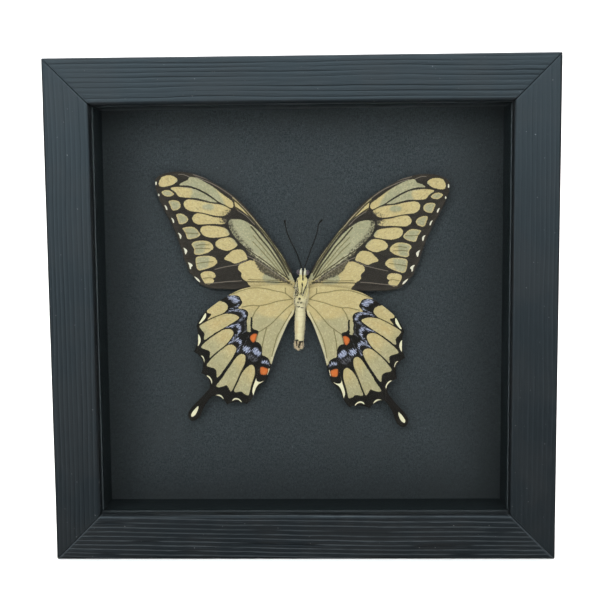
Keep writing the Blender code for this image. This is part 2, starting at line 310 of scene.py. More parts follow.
# The pale patches of the forewing.
FOREWING_PATCHES = {
    "apex": [(51.5, 49.0), (52.5, 50.3), (54.5, 51.0), (56.6, 50.8), (58.0, 50.2), (58.8, 48.8),
             (59.1, 47.4), (58.6, 46.5), (57.2, 46.3), (55.8, 46.5), (54.0, 47.0), (52.5, 47.9)],
    "subcostal": [(28.5, 38.2), (30.2, 37.9), (32.5, 39.3), (34.6, 40.5), (36.4, 41.8), (38.5, 43.3),
                  (41.0, 44.7), (44.0, 46.0), (47.0, 46.9), (50.6, 47.1), (49.9, 48.0), (48.2, 48.7),
                  (47.1, 49.2), (46.5, 50.2), (44.8, 50.3), (42.5, 49.6), (39.5, 48.1), (36.5, 46.2),
                  (33.5, 44.0), (30.5, 41.8), (28.6, 40.2)],
    "front_stripes": [(1.8, 6.0), (3.5, 9.4), (4.7, 12.0), (7.7, 17.6), (12.2, 24.3), (17.5, 30.7),
                      (22.4, 36.3),
                      (26.4, 40.3), (28.6, 42.2), (28.8, 41.4), (28.0, 40.6), (27.8, 38.8),
                      (27.3, 37.5), (24.4, 36.3), (21.4, 34.0),
                      (18.0, 30.0), (13.0, 23.6), (8.4, 16.6), (5.4, 10.4), (3.6, 5.4), (2.2, 4.6)],
    "upper": [(34.6, 40.0), (36.2, 41.0), (38.5, 42.5), (41.5, 44.2), (44.5, 45.5), (48.0, 46.2),
              (51.5, 46.3), (53.8, 46.1), (54.2, 45.4), (53.0, 44.6), (52.0, 43.7), (51.4, 42.8),
              (50.3, 42.2), (47.0, 41.9), (43.0, 41.7), (39.0, 40.5), (36.5, 40.1)],
    "second": [(29.3, 37.0), (30.6, 37.9), (32.6, 38.9), (34.6, 39.3), (38.0, 39.8), (42.0, 40.6),
               (45.0, 41.1), (47.0, 41.2), (48.3, 40.6), (48.8, 39.5), (48.4, 38.0), (47.2, 36.9),
               (45.0, 36.1), (42.0, 35.8), (39.0, 35.2), (36.0, 34.7), (33.5, 34.5), (31.5, 34.8),
               (30.0, 35.8)],
    "third": [(31.3, 33.1), (34.0, 33.8), (36.6, 34.1), (39.0, 34.8), (41.5, 35.4), (43.5, 35.4),
              (44.8, 34.6), (45.4, 33.4), (45.0, 32.2), (44.0, 31.4), (42.5, 30.9), (39.5, 30.9),
              (36.5, 31.2), (33.8, 31.1), (31.6, 31.6)],
    "fourth": [(29.7, 26.8), (30.3, 28.3), (31.4, 29.4), (33.2, 30.0), (36.0, 30.4), (39.0, 30.5),
               (41.0, 30.2), (42.0, 29.2), (42.0, 28.0), (41.2, 26.8), (39.8, 25.9), (37.5, 25.4),
               (34.5, 25.5), (31.8, 25.9), (30.2, 26.1)],
    "fifth": [(26.5, 22.5), (27.2, 24.0), (28.4, 25.1), (30.0, 25.7), (32.0, 25.7), (33.8, 25.2),
              (35.2, 24.3), (35.9, 23.2), (35.6, 22.0), (34.6, 21.1), (33.0, 20.6), (31.4, 20.1),
              (29.8, 20.2), (28.4, 20.8), (27.2, 21.4)],
    "sixth": [(22.3, 17.0), (23.0, 18.9), (24.3, 20.4), (26.0, 20.8), (28.2, 20.5), (29.4, 19.9),
              (30.2, 19.0), (31.4, 17.9), (32.1, 16.9), (31.5, 16.1), (30.2, 15.8), (28.8, 15.1),
              (27.4, 14.7), (26.2, 15.1), (24.4, 15.9), (23.0, 16.3)],
    "anal": [(20.0, 16.1), (21.2, 16.3), (22.8, 15.8), (24.4, 15.1), (25.8, 14.4), (26.3, 13.3),
             (26.2, 12.2), (25.2, 11.3), (24.8, 10.4), (25.0, 9.3), (24.0, 8.2), (22.7, 7.3),
             (22.0, 6.2), (21.2, 5.4), (20.0, 4.2), (14.0, 3.8), (8.0, 3.9), (2.6, 4.2), (3.6, 7.0),
             (8.0, 10.6), (12.0, 13.4), (16.0, 16.2), (19.0, 17.9), (19.6, 17.2)],
    "cell": [(4.6, 9.6), (8.0, 15.2), (12.5, 21.8), (17.0, 27.4), (21.0, 31.0), (24.5, 32.9),
             (28.0, 33.2), (30.0, 32.9), (30.3, 31.0), (29.6, 28.9), (28.2, 26.6), (26.6, 24.6),
             (25.0, 23.0),
             (23.2, 21.4), (22.6, 20.2), (21.6, 18.6), (19.4, 17.4), (16.0, 15.4), (12.5, 12.8),
             (9.0, 10.4),
             (6.0, 8.0)],
    "margin_1": [(52.9, 43.3), (53.7, 44.3), (54.8, 44.9), (56.2, 45.1), (57.4, 44.8), (58.1, 44.1),
                 (57.7, 43.3), (56.9, 42.6), (55.8, 42.2), (54.5, 42.3), (53.4, 42.7)],
    "margin_2": [(50.0, 39.0), (50.7, 40.2), (52.0, 40.8), (53.6, 40.9), (54.9, 40.6), (55.2, 39.8),
                 (54.6, 38.6), (54.2, 37.4), (53.5, 36.6), (52.2, 36.6), (51.1, 37.0), (50.3, 37.8)],
    "margin_3": [(47.0, 32.9), (47.6, 34.1), (48.7, 34.9), (50.0, 35.4), (51.3, 35.4), (52.1, 34.8),
                 (51.7, 33.4), (51.3, 32.1), (50.9, 31.1), (50.0, 30.9), (48.8, 31.1), (47.7, 31.7)],
    "margin_4": [(42.0, 27.0), (42.8, 28.2), (43.9, 29.3), (45.1, 29.9), (46.6, 30.0), (48.2, 29.8),
                 (49.5, 29.4), (49.0, 28.3), (48.3, 27.1), (47.9, 26.0), (47.4, 24.8), (46.6, 24.6),
                 (45.0, 24.9), (43.5, 25.4), (42.4, 26.1)],
    "margin_5": [(36.5, 21.1), (37.0, 22.7), (38.3, 23.8), (40.0, 24.3), (42.0, 24.4), (44.0, 24.0),
                 (45.3, 23.3), (45.7, 22.4), (45.0, 21.3), (44.6, 20.3), (44.8, 19.3), (44.2, 18.4),
                 (42.6, 18.2), (41.0, 18.5), (39.2, 19.0), (37.7, 19.9)],
    "margin_6": [(34.8, 15.2), (35.3, 16.6), (36.6, 17.6), (38.5, 18.0), (41.0, 18.0), (43.0, 17.7),
                 (44.0, 17.0), (44.1, 15.5), (43.9, 14.0), (43.4, 12.3), (42.2, 11.7), (40.8, 12.0),
                 (39.0, 12.5), (37.0, 13.3), (35.6, 14.2)],
    "margin_7": [(35.7, 10.3), (36.4, 11.2), (38.0, 11.6), (40.0, 11.5), (41.6, 10.9), (42.0, 9.8),
                 (41.5, 8.5), (40.8, 7.3), (39.9, 6.3), (38.6, 5.8), (37.2, 6.3), (36.1, 7.3),
                 (36.5, 8.4), (35.6, 9.2)],
}
# Where the pale patches turn from cream to grey-green.
FOREWING_GREY = [
    [(3.0, 9.0), (12.0, 24.0), (21.0, 34.0), (26.0, 35.0), (31.5, 34.0), (31.0, 28.0), (24.0, 20.0),
     (12.0, 12.0), (5.0, 8.5)],
    [(31.8, 38.6), (33.4, 42.6), (37.0, 46.8), (43.0, 50.8), (52.0, 49.0), (50.0, 46.6), (42.0, 44.6),
     (37.0, 41.6), (33.6, 39.2)],
    [(33.0, 39.4), (37.0, 42.6), (42.0, 45.0), (45.6, 46.4), (45.3, 44.0), (46.0, 41.6), (41.0, 40.6),
     (37.0, 39.9)],
    [(36.3, 38.2), (37.4, 39.4), (39.4, 39.5), (41.2, 38.8), (40.8, 37.4), (38.6, 36.9), (36.9, 37.2)],
    [(52.0, 43.4), (55.0, 45.8), (58.9, 44.4), (57.0, 41.6), (54.0, 41.6)],
    [(49.3, 38.6), (51.6, 41.8), (56.0, 40.4), (53.8, 35.8), (50.6, 36.6)],
    [(46.3, 32.6), (48.6, 35.8), (52.8, 35.2), (51.0, 30.2), (47.4, 31.2)],
    [(41.6, 27.4), (45.0, 30.8), (50.2, 29.4), (47.4, 24.0), (42.2, 25.6)],
    [(40.6, 24.9), (46.4, 23.8), (45.4, 17.8), (41.6, 17.6), (40.2, 20.4)],
    [(38.4, 18.6), (44.8, 17.8), (44.2, 11.4), (41.0, 11.4), (38.8, 14.0)],
    [(9.0, 6.8), (12.0, 9.8), (15.0, 10.8), (16.0, 8.6), (14.0, 6.8)],
]
FOREWING_VEINS = [
    [(5.0, 10.0), (9.0, 16.6), (14.0, 24.0), (19.5, 30.6), (24.0, 34.8), (27.4, 37.4)],
    [(27.4, 37.4), (27.9, 39.0), (28.2, 40.4), (29.2, 42.0)],
    [(27.4, 37.4), (29.0, 37.4), (32.0, 39.0), (34.3, 39.9), (38.0, 42.7), (42.0, 45.0), (46.0, 46.3),
     (50.0, 46.7), (55.0, 46.1), (60.4, 45.3)],
    [(34.3, 39.9), (37.0, 39.9), (41.0, 41.0), (46.0, 41.6), (50.0, 41.7), (54.0, 41.4), (58.8, 40.5)],
    [(30.2, 34.4), (33.0, 34.2), (36.0, 34.4), (40.0, 35.3), (44.0, 35.9), (49.0, 36.1), (56.2, 35.2)],
    [(30.8, 31.2), (33.0, 30.7), (36.0, 30.8), (40.0, 30.8), (44.0, 30.6), (48.5, 30.2), (53.2, 29.4)],
    [(29.4, 27.2), (30.8, 25.9), (34.0, 25.4), (38.0, 24.9), (43.0, 24.4), (47.0, 23.8), (50.7, 23.1)],
    [(26.0, 22.6), (28.0, 20.9), (30.6, 19.9), (36.0, 18.7), (42.0, 18.0), (48.8, 16.7)],
    [(20.8, 17.4), (23.2, 16.1), (26.2, 14.7), (31.0, 13.6), (37.0, 12.3), (46.5, 10.8)],
    [(4.5, 7.4), (9.0, 7.2), (16.0, 7.3), (22.0, 7.2), (30.0, 6.9), (36.0, 6.4), (42.0, 6.1)],
    [(5.0, 8.6), (9.0, 11.4), (14.0, 15.1), (19.0, 18.5), (23.0, 21.2), (26.6, 24.4), (29.4, 27.6),
     (30.7, 31.0), (30.6, 33.4), (29.0, 36.4)],
]
FOREWING_STRIPES = [
    [(4.6, 11.5), (6.2, 14.4), (8.5, 18.0), (9.9, 20.0), (12.6, 24.0), (15.8, 28.0), (17.6, 30.0),
     (21.2, 34.2),
     (25.2, 38.6), (29.5, 42.2), (35.0, 46.0), (41.0, 49.3)],
    [(5.2, 10.8), (7.3, 14.6), (9.4, 18.0), (10.8, 20.0), (13.7, 24.0), (16.9, 28.0), (18.6, 30.0),
     (21.8, 33.4),
     (24.6, 36.3), (27.6, 38.2)],
    [(5.2, 8.4), (6.3, 10.5), (8.2, 13.8), (10.2, 16.6), (12.6, 20.0), (14.5, 22.5), (16.9, 25.2),
     (19.1, 28.0),
     (21.0, 30.2)],
    [(22.0, 33.0), (24.0, 33.9), (26.5, 34.4), (29.0, 34.2)],
]
FOREWING_CREASES = [
    [(6.6, 9.6), (9.2, 13.4), (11.8, 16.8), (14.2, 19.8), (16.8, 22.9), (20.0, 26.4)],
    [(8.0, 10.4), (10.6, 13.6), (13.2, 16.6), (15.9, 19.6), (18.4, 22.2), (20.2, 24.0)],
    [(9.4, 11.0), (12.0, 13.2), (15.0, 15.9), (17.6, 18.0)],
    [(7.6, 8.0), (12.0, 7.9), (16.0, 8.1), (22.0, 8.1)],
    [(38.0, 20.8), (41.5, 21.0), (44.0, 20.8)],
    [(38.5, 22.4), (41.0, 22.6), (43.6, 22.2)],
    [(36.5, 15.5), (40.5, 15.2), (43.8, 14.6)],
    [(43.0, 27.2), (46.0, 27.2), (48.5, 27.4)],
    [(36.4, 8.4), (38.0, 8.8), (40.8, 8.5)],
    [(30.5, 43.0), (34.5, 45.8), (39.0, 48.5), (44.0, 50.9)],
]
# The lighter strip along the rear edge of the cell, and the one along the hindwing's inner edge.
CELL_LIGHT = [(9.0, 10.9), (13.0, 14.0), (17.0, 17.0), (20.5, 19.6), (24.0, 22.6)]
INNER_LIGHT = [(2.9, -4.6), (5.6, -9.6), (8.2, -15.8), (10.3, -21.4), (11.6, -26.0)]
# Pale vein lines that show on the black and smoky parts.
FOREWING_PALE_LINES = [
    [(6.0, 7.7), (9.0, 9.7), (13.0, 12.5), (16.8, 15.1), (20.2, 17.0), (22.6, 18.0)],
    [(24.8, 7.7), (29.0, 7.4), (34.0, 6.9), (40.0, 6.2)],
    [(26.4, 14.4), (29.0, 13.9), (33.0, 13.1), (36.0, 12.4)],
    [(22.6, 16.4), (24.6, 15.4), (26.4, 14.6)],
    [(19.6, 31.2), (23.0, 34.6), (26.6, 36.9)],
    [(17.0, 29.8), (21.0, 34.8), (25.6, 39.6)],
    [(46.4, 50.4), (49.0, 51.4), (51.0, 51.5)],
    [(27.0, 40.9), (30.0, 43.5), (34.0, 46.1), (39.0, 48.6), (44.0, 50.4)],
    [(31.0, 45.1), (35.0, 47.6), (40.0, 49.9), (45.0, 51.4)],
]
FOREWING_SMOKE = [
    [(3.6, 6.3), (6.2, 8.4), (9.0, 10.6), (13.0, 13.6), (17.0, 16.5), (20.6, 19.0), (23.4, 21.4),
     (23.0, 19.4),
     (21.8, 17.8), (20.2, 16.8), (19.2, 15.4), (18.2, 13.4), (17.0, 11.8), (15.0, 10.4), (12.0, 9.0),
     (8.6, 7.7), (5.4, 6.6)],
    [(20.8, 32.4), (24.0, 35.0), (27.6, 36.9), (30.2, 36.6), (31.6, 35.0), (33.4, 34.0), (32.6, 32.2),
     (30.8, 31.6),
     (30.4, 33.2), (28.0, 33.9), (24.4, 33.6)],
    [(46.6, 50.3), (48.0, 51.8), (50.0, 51.9), (50.2, 50.2), (48.6, 49.8)],
]
# Where brown scales thin out over the pale ones, round the end of the cell.
FOREWING_SPECKLED = [
    [(19.4, 16.8), (22.6, 20.0), (26.2, 23.4), (29.4, 27.0), (31.2, 31.0), (30.8, 34.0), (28.4, 34.2),
     (28.4, 30.8), (25.6, 26.4), (22.4, 22.8), (19.6, 20.0)],
    [(31.0, 30.6), (33.6, 30.8), (34.8, 33.9), (31.8, 34.4)],
    [(28.8, 34.4), (33.4, 34.2), (34.0, 35.9), (30.0, 37.6)],
]
FOREWING_LUNULES = [
    [(60.0, 48.5), (60.5, 48.3), (60.6, 47.2), (60.2, 46.8), (59.9, 47.5)],
    [(59.0, 43.5), (59.5, 43.3), (59.5, 42.6), (59.0, 42.4), (58.8, 43.0)],
    [(57.0, 38.8), (56.3, 38.5), (55.7, 37.6), (55.7, 36.7), (56.2, 36.9), (56.6, 37.9)],
    [(54.1, 33.6), (53.3, 33.2), (52.8, 32.2), (52.9, 31.3), (53.3, 31.6), (53.7, 32.7)],
    [(51.4, 27.5), (50.5, 27.2), (49.8, 26.2), (50.1, 24.8), (50.5, 25.3), (50.8, 26.5)],
    [(49.2, 21.3), (48.4, 21.0), (47.4, 19.9), (48.1, 18.4), (48.5, 18.9), (48.7, 20.3)],
    [(47.2, 15.1), (46.2, 14.9), (45.1, 13.9), (45.8, 13.1), (45.8, 12.2), (46.4, 12.6), (46.6, 13.9)],
    [(44.6, 9.4), (43.5, 8.9), (42.4, 7.9), (42.0, 6.8), (42.9, 7.3), (43.8, 8.2)],
]

HINDWING_PALE = [
    # the inner half, from the root to the black band
    [(1.6, -6.0), (1.4, 0.0), (1.8, 4.6), (6.0, 6.4), (12.0, 6.6), (20.5, 5.6), (26.0, 4.0), (30.2, 1.7),
     (29.0, 1.3), (27.0, 1.4), (25.6, 0.9), (24.8, -0.3), (24.2, -1.8), (24.9, -3.0), (25.9, -4.1),
     (24.2, -4.2), (22.8, -4.6), (21.8, -5.6), (21.6, -6.8), (21.9, -8.0), (20.3, -7.6), (19.8, -9.6),
     (19.8, -12.0), (18.6, -12.9), (17.2, -13.4), (17.5, -14.6), (18.1, -16.4), (18.3, -17.8),
     (17.3, -18.1), (16.3, -19.0), (15.7, -20.3), (15.5, -22.0), (15.5, -23.4), (14.5, -23.9),
     (13.3, -24.5), (12.4, -25.5), (12.0, -26.8), (11.0, -26.6), (9.2, -20.0), (5.0, -10.5)],
    # the strips beside the bar at the end of the cell
    [(20.9, -8.0), (21.7, -8.2), (22.2, -9.4), (22.0, -11.5), (22.3, -13.6), (21.0, -13.9), (20.6, -13.2),
     (20.9, -11.0), (20.8, -9.4)],
    # the outer panels between the veins
    [(30.5, -3.8), (30.8, -2.9), (31.6, -2.1), (33.0, -1.6), (34.3, -1.5), (36.2, -2.9), (38.0, -4.4),
     (38.9, -5.6), (38.6, -6.4), (37.6, -6.6), (37.2, -7.3), (37.9, -8.2), (38.7, -9.3), (37.0, -8.6),
     (35.0, -7.7), (33.0, -6.7), (31.7, -5.7), (30.8, -4.7)],
    [(25.7, -8.0), (26.3, -7.4), (27.6, -6.9), (29.5, -6.7), (31.5, -6.8), (33.4, -7.2), (35.2, -8.0),
     (37.2, -9.1), (39.2, -10.2), (40.8, -11.2), (42.0, -12.2), (41.5, -13.1), (40.9, -13.9),
     (40.2, -14.6),
     (39.8, -15.5), (40.0, -16.6), (39.9, -17.7), (38.0, -16.4), (36.0, -15.0), (34.0, -13.7),
     (32.0, -12.5),
     (30.0, -11.3), (28.0, -10.0), (26.6, -9.0)],
    [(28.0, -14.2), (28.7, -13.5), (30.0, -13.1), (31.5, -13.3), (33.0, -14.0), (35.0, -15.3),
     (37.0, -16.8),
     (39.0, -18.4), (40.4, -19.7), (41.2, -21.0), (40.0, -21.6), (38.6, -22.0), (37.7, -22.5),
     (37.4, -23.6),
     (37.6, -25.4), (36.0, -23.9), (34.0, -22.2), (32.0, -20.5), (30.3, -18.8), (29.0, -17.1),
     (28.2, -15.6)],
    [(26.6, -21.3), (27.2, -20.2), (28.3, -19.7), (29.6, -19.8), (31.0, -20.6), (32.5, -21.8),
     (34.2, -23.2),
     (36.0, -25.0), (37.6, -26.9), (38.6, -28.6), (37.4, -29.2), (36.0, -29.5), (34.9, -30.2),
     (34.5, -31.4),
     (34.4, -33.4), (33.2, -32.4), (31.5, -30.1), (29.9, -27.7), (28.4, -25.3), (27.2, -23.2)],
    [(22.7, -24.8), (23.2, -23.7), (24.3, -23.4), (25.6, -24.2), (26.9, -25.7), (28.6, -28.3),
     (30.4, -31.1),
     (32.3, -34.0), (34.2, -36.6), (34.4, -37.5), (33.0, -37.6), (31.4, -37.1), (30.2, -36.7),
     (29.5, -37.6),
     (28.8, -38.9), (28.3, -39.3), (27.5, -38.2), (26.4, -35.6), (25.2, -33.0), (23.9, -30.3),
     (23.0, -27.6)],
    [(18.7, -31.0), (18.8, -29.5), (19.2, -28.5), (20.2, -28.0), (21.5, -28.8), (22.8, -30.1),
     (24.0, -32.0),
     (25.0, -34.2), (26.0, -36.6), (27.0, -39.1), (26.2, -39.6), (24.8, -39.3), (23.6, -39.4),
     (22.7, -40.2), (21.5, -40.7), (20.9, -40.3), (20.2, -38.0), (19.4, -35.5), (18.8, -33.0)],
]
HINDWING_BLACK = [
    # the bar at the end of the cell, with its foot
    [(20.0, -7.6), (20.6, -8.4), (20.8, -10.0), (20.6, -12.0), (20.9, -13.4), (19.0, -13.5),
     (17.4, -13.4),
     (18.2, -12.9), (19.6, -12.6), (19.9, -11.0), (19.8, -9.0)],
    # the black ends of the first panel
    [(37.2, -6.9), (38.0, -6.6), (38.6, -7.2), (38.9, -8.6), (38.2, -8.2), (37.6, -7.6)],
]
HINDWING_VEINS = [
    [(26.0, -4.1), (28.0, -4.8), (30.5, -5.9), (33.0, -6.9), (36.0, -8.2), (39.0, -9.7), (42.6, -11.8)],
    [(22.2, -8.0), (25.5, -9.4), (28.0, -10.5), (31.0, -12.3), (35.0, -14.9), (39.0, -17.8),
     (44.0, -22.8)],
    [(25.2, -15.2), (28.0, -17.4), (31.0, -20.0), (35.0, -23.3), (38.0, -26.4), (41.0, -31.6)],
    [(24.6, -20.0), (27.0, -23.8), (30.0, -28.5), (33.0, -33.1), (35.5, -37.4), (39.0, -42.3),
     (43.0, -47.4)],
    [(21.4, -24.6), (22.8, -27.8), (24.4, -31.2), (26.4, -36.0), (28.2, -40.2), (29.9, -44.6)],
    [(16.4, -25.0), (17.6, -29.2), (18.5, -32.6), (19.7, -36.6), (20.6, -40.4), (21.4, -44.0)],
]
HINDWING_CREASES = [
    [(3.6, 0.4), (5.0, 1.6), (6.3, 2.8), (6.4, 4.9)],
    [(3.4, 0.4), (5.2, 1.8), (7.2, 2.9), (11.0, 3.6), (15.0, 4.4), (20.0, 4.5), (25.0, 3.2), (29.0, 1.6)],
    [(3.4, 0.4), (5.8, -0.1), (10.0, -0.9), (13.5, -2.0), (17.0, -2.8), (20.0, -2.7), (24.5, -3.6)],
    [(3.2, -1.5), (6.0, -3.8), (9.0, -7.0), (12.0, -10.2), (15.0, -12.4), (17.3, -13.9)],
    [(17.3, -13.9), (17.8, -15.6), (18.3, -17.6)],
    [(14.0, -12.0), (15.0, -16.0), (15.6, -20.0), (15.9, -24.0)],
    [(17.0, -2.8), (18.8, -5.2), (20.0, -7.8)],
    [(3.8, -5.0), (6.0, -9.0), (8.6, -13.8), (10.4, -18.6), (11.4, -24.0)],
]
HINDWING_WHITE = [
    [(39.2, -6.7), (39.9, -6.4), (40.6, -7.3), (41.3, -8.6), (42.0, -9.9), (42.7, -11.2), (42.2, -11.4),
     (41.2, -10.8), (40.2, -9.7), (39.4, -8.5)],
    [(43.9, -15.9), (42.7, -15.3), (41.8, -16.2), (41.3, -17.8), (41.6, -19.4), (42.3, -20.6),
     (43.0, -21.2),
     (42.9, -19.6), (42.8, -18.0), (43.2, -16.8)],
    [(42.0, -24.6), (41.1, -24.3), (40.2, -24.8), (39.6, -26.0), (39.5, -27.2), (40.0, -28.3),
     (40.2, -27.0),
     (40.6, -25.8), (41.3, -25.0)],
    [(39.6, -33.1), (38.7, -32.6), (37.6, -33.0), (36.6, -34.2), (36.2, -35.6), (36.4, -36.8),
     (36.8, -37.4),
     (37.0, -36.0), (37.5, -34.7), (38.5, -33.6)],
    [(35.8, -41.4), (34.6, -40.8), (33.2, -40.7), (32.0, -41.3), (31.3, -42.4), (31.1, -43.4),
     (31.9, -42.8),
     (33.0, -41.9), (34.3, -41.5)],
    [(28.2, -43.4), (27.4, -42.2), (26.1, -41.8), (24.8, -42.2), (23.8, -43.2), (23.5, -44.3),
     (24.2, -44.0),
     (25.2, -43.1), (26.4, -42.9), (27.4, -43.4)],
    [(42.0, -45.7), (43.0, -46.5), (44.0, -47.6), (44.9, -48.9), (45.4, -50.0), (45.0, -51.0),
     (44.1, -50.8),
     (43.1, -49.9), (42.4, -48.6), (41.9, -47.2)],
    [(14.0, -34.2), (14.8, -34.1), (16.0, -34.6), (17.2, -34.5), (17.6, -33.6), (17.3, -32.0),
     (16.9, -30.4),
     (16.3, -28.9), (16.9, -28.9), (17.5, -30.7), (18.1, -33.0), (18.7, -35.2), (19.4, -37.4),
     (19.7, -39.2),
     (19.4, -40.4), (19.3, -41.7), (18.8, -41.0), (18.3, -39.4), (17.6, -37.5), (16.6, -36.0),
     (15.3, -35.2)],
    [(12.2, -29.0), (13.0, -29.0), (13.2, -30.4), (13.6, -31.8), (13.0, -32.0), (12.5, -30.6)],
]
HINDWING_ORANGE = [
    [(13.0, -29.5), (14.0, -28.9), (15.3, -28.5), (16.2, -28.7), (16.4, -30.0), (16.2, -31.6),
     (15.0, -32.0),
     (13.8, -31.8), (13.1, -30.8)],
    [(17.9, -14.9), (18.8, -14.5), (20.0, -15.0), (20.8, -16.0), (20.6, -17.3), (19.9, -18.2),
     (19.2, -18.4),
     (18.6, -17.5), (18.2, -16.2)],
]
HINDWING_BLUE = [
    [(25.8, -0.2), (27.0, 0.8), (28.8, 1.1), (30.2, 0.6), (29.8, -0.3), (28.8, -0.6), (28.4, -1.4),
     (27.2, -2.0), (26.2, -1.9), (25.6, -1.0)],
    [(25.5, -2.2), (26.5, -3.1), (27.8, -3.8), (29.2, -4.7), (27.6, -4.3), (26.2, -3.5)],
    [(22.8, -6.8), (23.0, -5.6), (24.0, -4.9), (26.0, -4.5), (28.0, -4.7), (29.8, -5.2), (30.8, -5.8),
     (29.4, -5.7), (27.6, -5.4), (25.6, -5.3), (24.5, -5.9), (24.1, -6.9), (24.4, -8.0), (25.3, -9.2),
     (26.0, -9.9), (25.0, -9.6), (23.8, -8.6), (22.9, -7.7)],
    [(24.7, -12.5), (24.8, -11.4), (25.6, -10.6), (26.8, -10.4), (28.2, -10.9), (30.0, -11.9),
     (31.6, -12.7),
     (30.0, -12.4), (28.0, -12.0), (26.6, -12.0), (26.0, -12.8), (25.9, -14.0), (26.3, -15.0),
     (27.3, -16.0),
     (28.1, -17.0), (26.6, -16.1), (25.4, -14.9), (24.8, -13.8)],
    [(24.2, -18.9), (24.3, -17.8), (25.0, -17.0), (26.3, -16.6), (27.6, -17.3), (29.0, -18.3),
     (29.9, -19.3),
     (28.2, -18.6), (26.8, -18.1), (25.9, -18.3), (25.4, -19.2), (25.4, -20.4), (26.2, -22.6),
     (25.0, -21.0),
     (24.5, -19.9)],
    [(20.5, -20.6), (21.6, -20.0), (23.0, -19.8), (23.9, -20.6), (23.4, -22.2), (22.0, -23.0),
     (20.9, -22.4)],
    [(16.2, -22.8), (17.0, -21.3), (18.3, -20.3), (19.5, -20.8), (19.9, -22.0), (19.2, -23.2),
     (18.2, -24.2),
     (16.9, -24.6), (16.2, -23.9)],
    [(12.5, -27.6), (12.9, -26.4), (13.7, -25.8), (15.0, -25.7), (15.9, -25.9), (15.9, -26.9),
     (14.6, -27.0),
     (13.5, -27.3), (12.9, -27.9)],
]
HINDWING_DUST = [
    [(17.0, -24.8), (19.0, -23.6), (20.6, -22.6), (22.4, -22.8), (22.2, -24.6), (21.0, -26.0),
     (19.5, -27.0),
     (18.0, -26.6), (17.0, -26.0)],
    [(21.8, -13.8), (22.6, -11.0), (22.4, -8.6), (23.4, -9.6), (23.6, -12.4), (24.6, -15.4),
     (23.0, -14.8)],
    [(20.9, -14.6), (22.2, -15.6), (23.2, -18.4), (24.2, -20.6), (23.4, -20.6), (21.9, -17.6)],
]


# Where each wing's streaks start, and the depth and distance of a mark that a wing doesn't have.
FOREWING_ROOT = (3.0, 7.0)
HINDWING_ROOT = (4.0, 0.0)
NOWHERE = -3.0
FAR_AWAY = 9.0


def lines_away(at, lines):
    """Distance of each point from the nearest of several smooth lines."""
    return np.min([line_distance(at, spline(line, 4)) for line in lines], axis=0)


def rays(at, root):
    """Direction and distance of each point from the wing's root."""
    away = at - np.array(root)
    return {"ray": np.degrees(np.arctan2(away[:, 1], away[:, 0])),
            "reach": np.hypot(away[:, 0], away[:, 1])}


def forewing_values(at):
    """The marking layers of the forewing at each (out, up) point."""
    joined = [FOREWING_PATCHES[name] for name in ("front_stripes", "cell", "anal")]
    slim = [FOREWING_PATCHES[name] for name in ("subcostal", "upper", "second", "third", "apex")]
    separate = [ring for ring in FOREWING_PATCHES.values() if ring not in joined and ring not in slim]
    margin = blobs(at, [ring for name, ring in FOREWING_PATCHES.items() if name.startswith("margin")])
    cream_rim = np.where(margin > -0.5, soft(margin, 0.2, 0.9), 1.0)
    speckled = np.maximum(0.6 * soft(blobs(at, FOREWING_SPECKLED[:1], 2.5), -1.1, 0.7),
                          0.42 * soft(blobs(at, FOREWING_SPECKLED[1:], 2.5), -0.9, 0.9))
    stripes = lines_away(at, FOREWING_STRIPES)
    edge = depth_inside(at, forewing_outline())
    pale = np.maximum(blobs(at, joined + slim), blobs(at, separate) - 0.12)
    front_rim = 0.5 * soft(at[:, 1], 9.0, 16.0)
    return {
        "dark": np.maximum(-pale, front_rim - edge),
        "green": soft(blobs(at, FOREWING_GREY, 1.5), -0.6, 0.6) * cream_rim,
        "vein": np.minimum(lines_away(at, FOREWING_VEINS), stripes - 0.1),
        "crease": lines_away(at, FOREWING_CREASES),
        "edge": edge,
        "smoke": np.maximum(soft(blobs(at, FOREWING_SMOKE, 2.5), -0.7, 0.7), speckled),
        "white": blobs(at, FOREWING_LUNULES, 1.0) - 0.05,
        "line": lines_away(at, FOREWING_PALE_LINES),
        "blue": np.full(len(at), NOWHERE),
        "orange": np.full(len(at), NOWHERE),
        "glow": np.zeros(len(at)),
        "light": soft(-lines_away(at, [CELL_LIGHT]), -1.0, -0.2),
        "hind": np.zeros(len(at)),
        **rays(at, FOREWING_ROOT),
    }


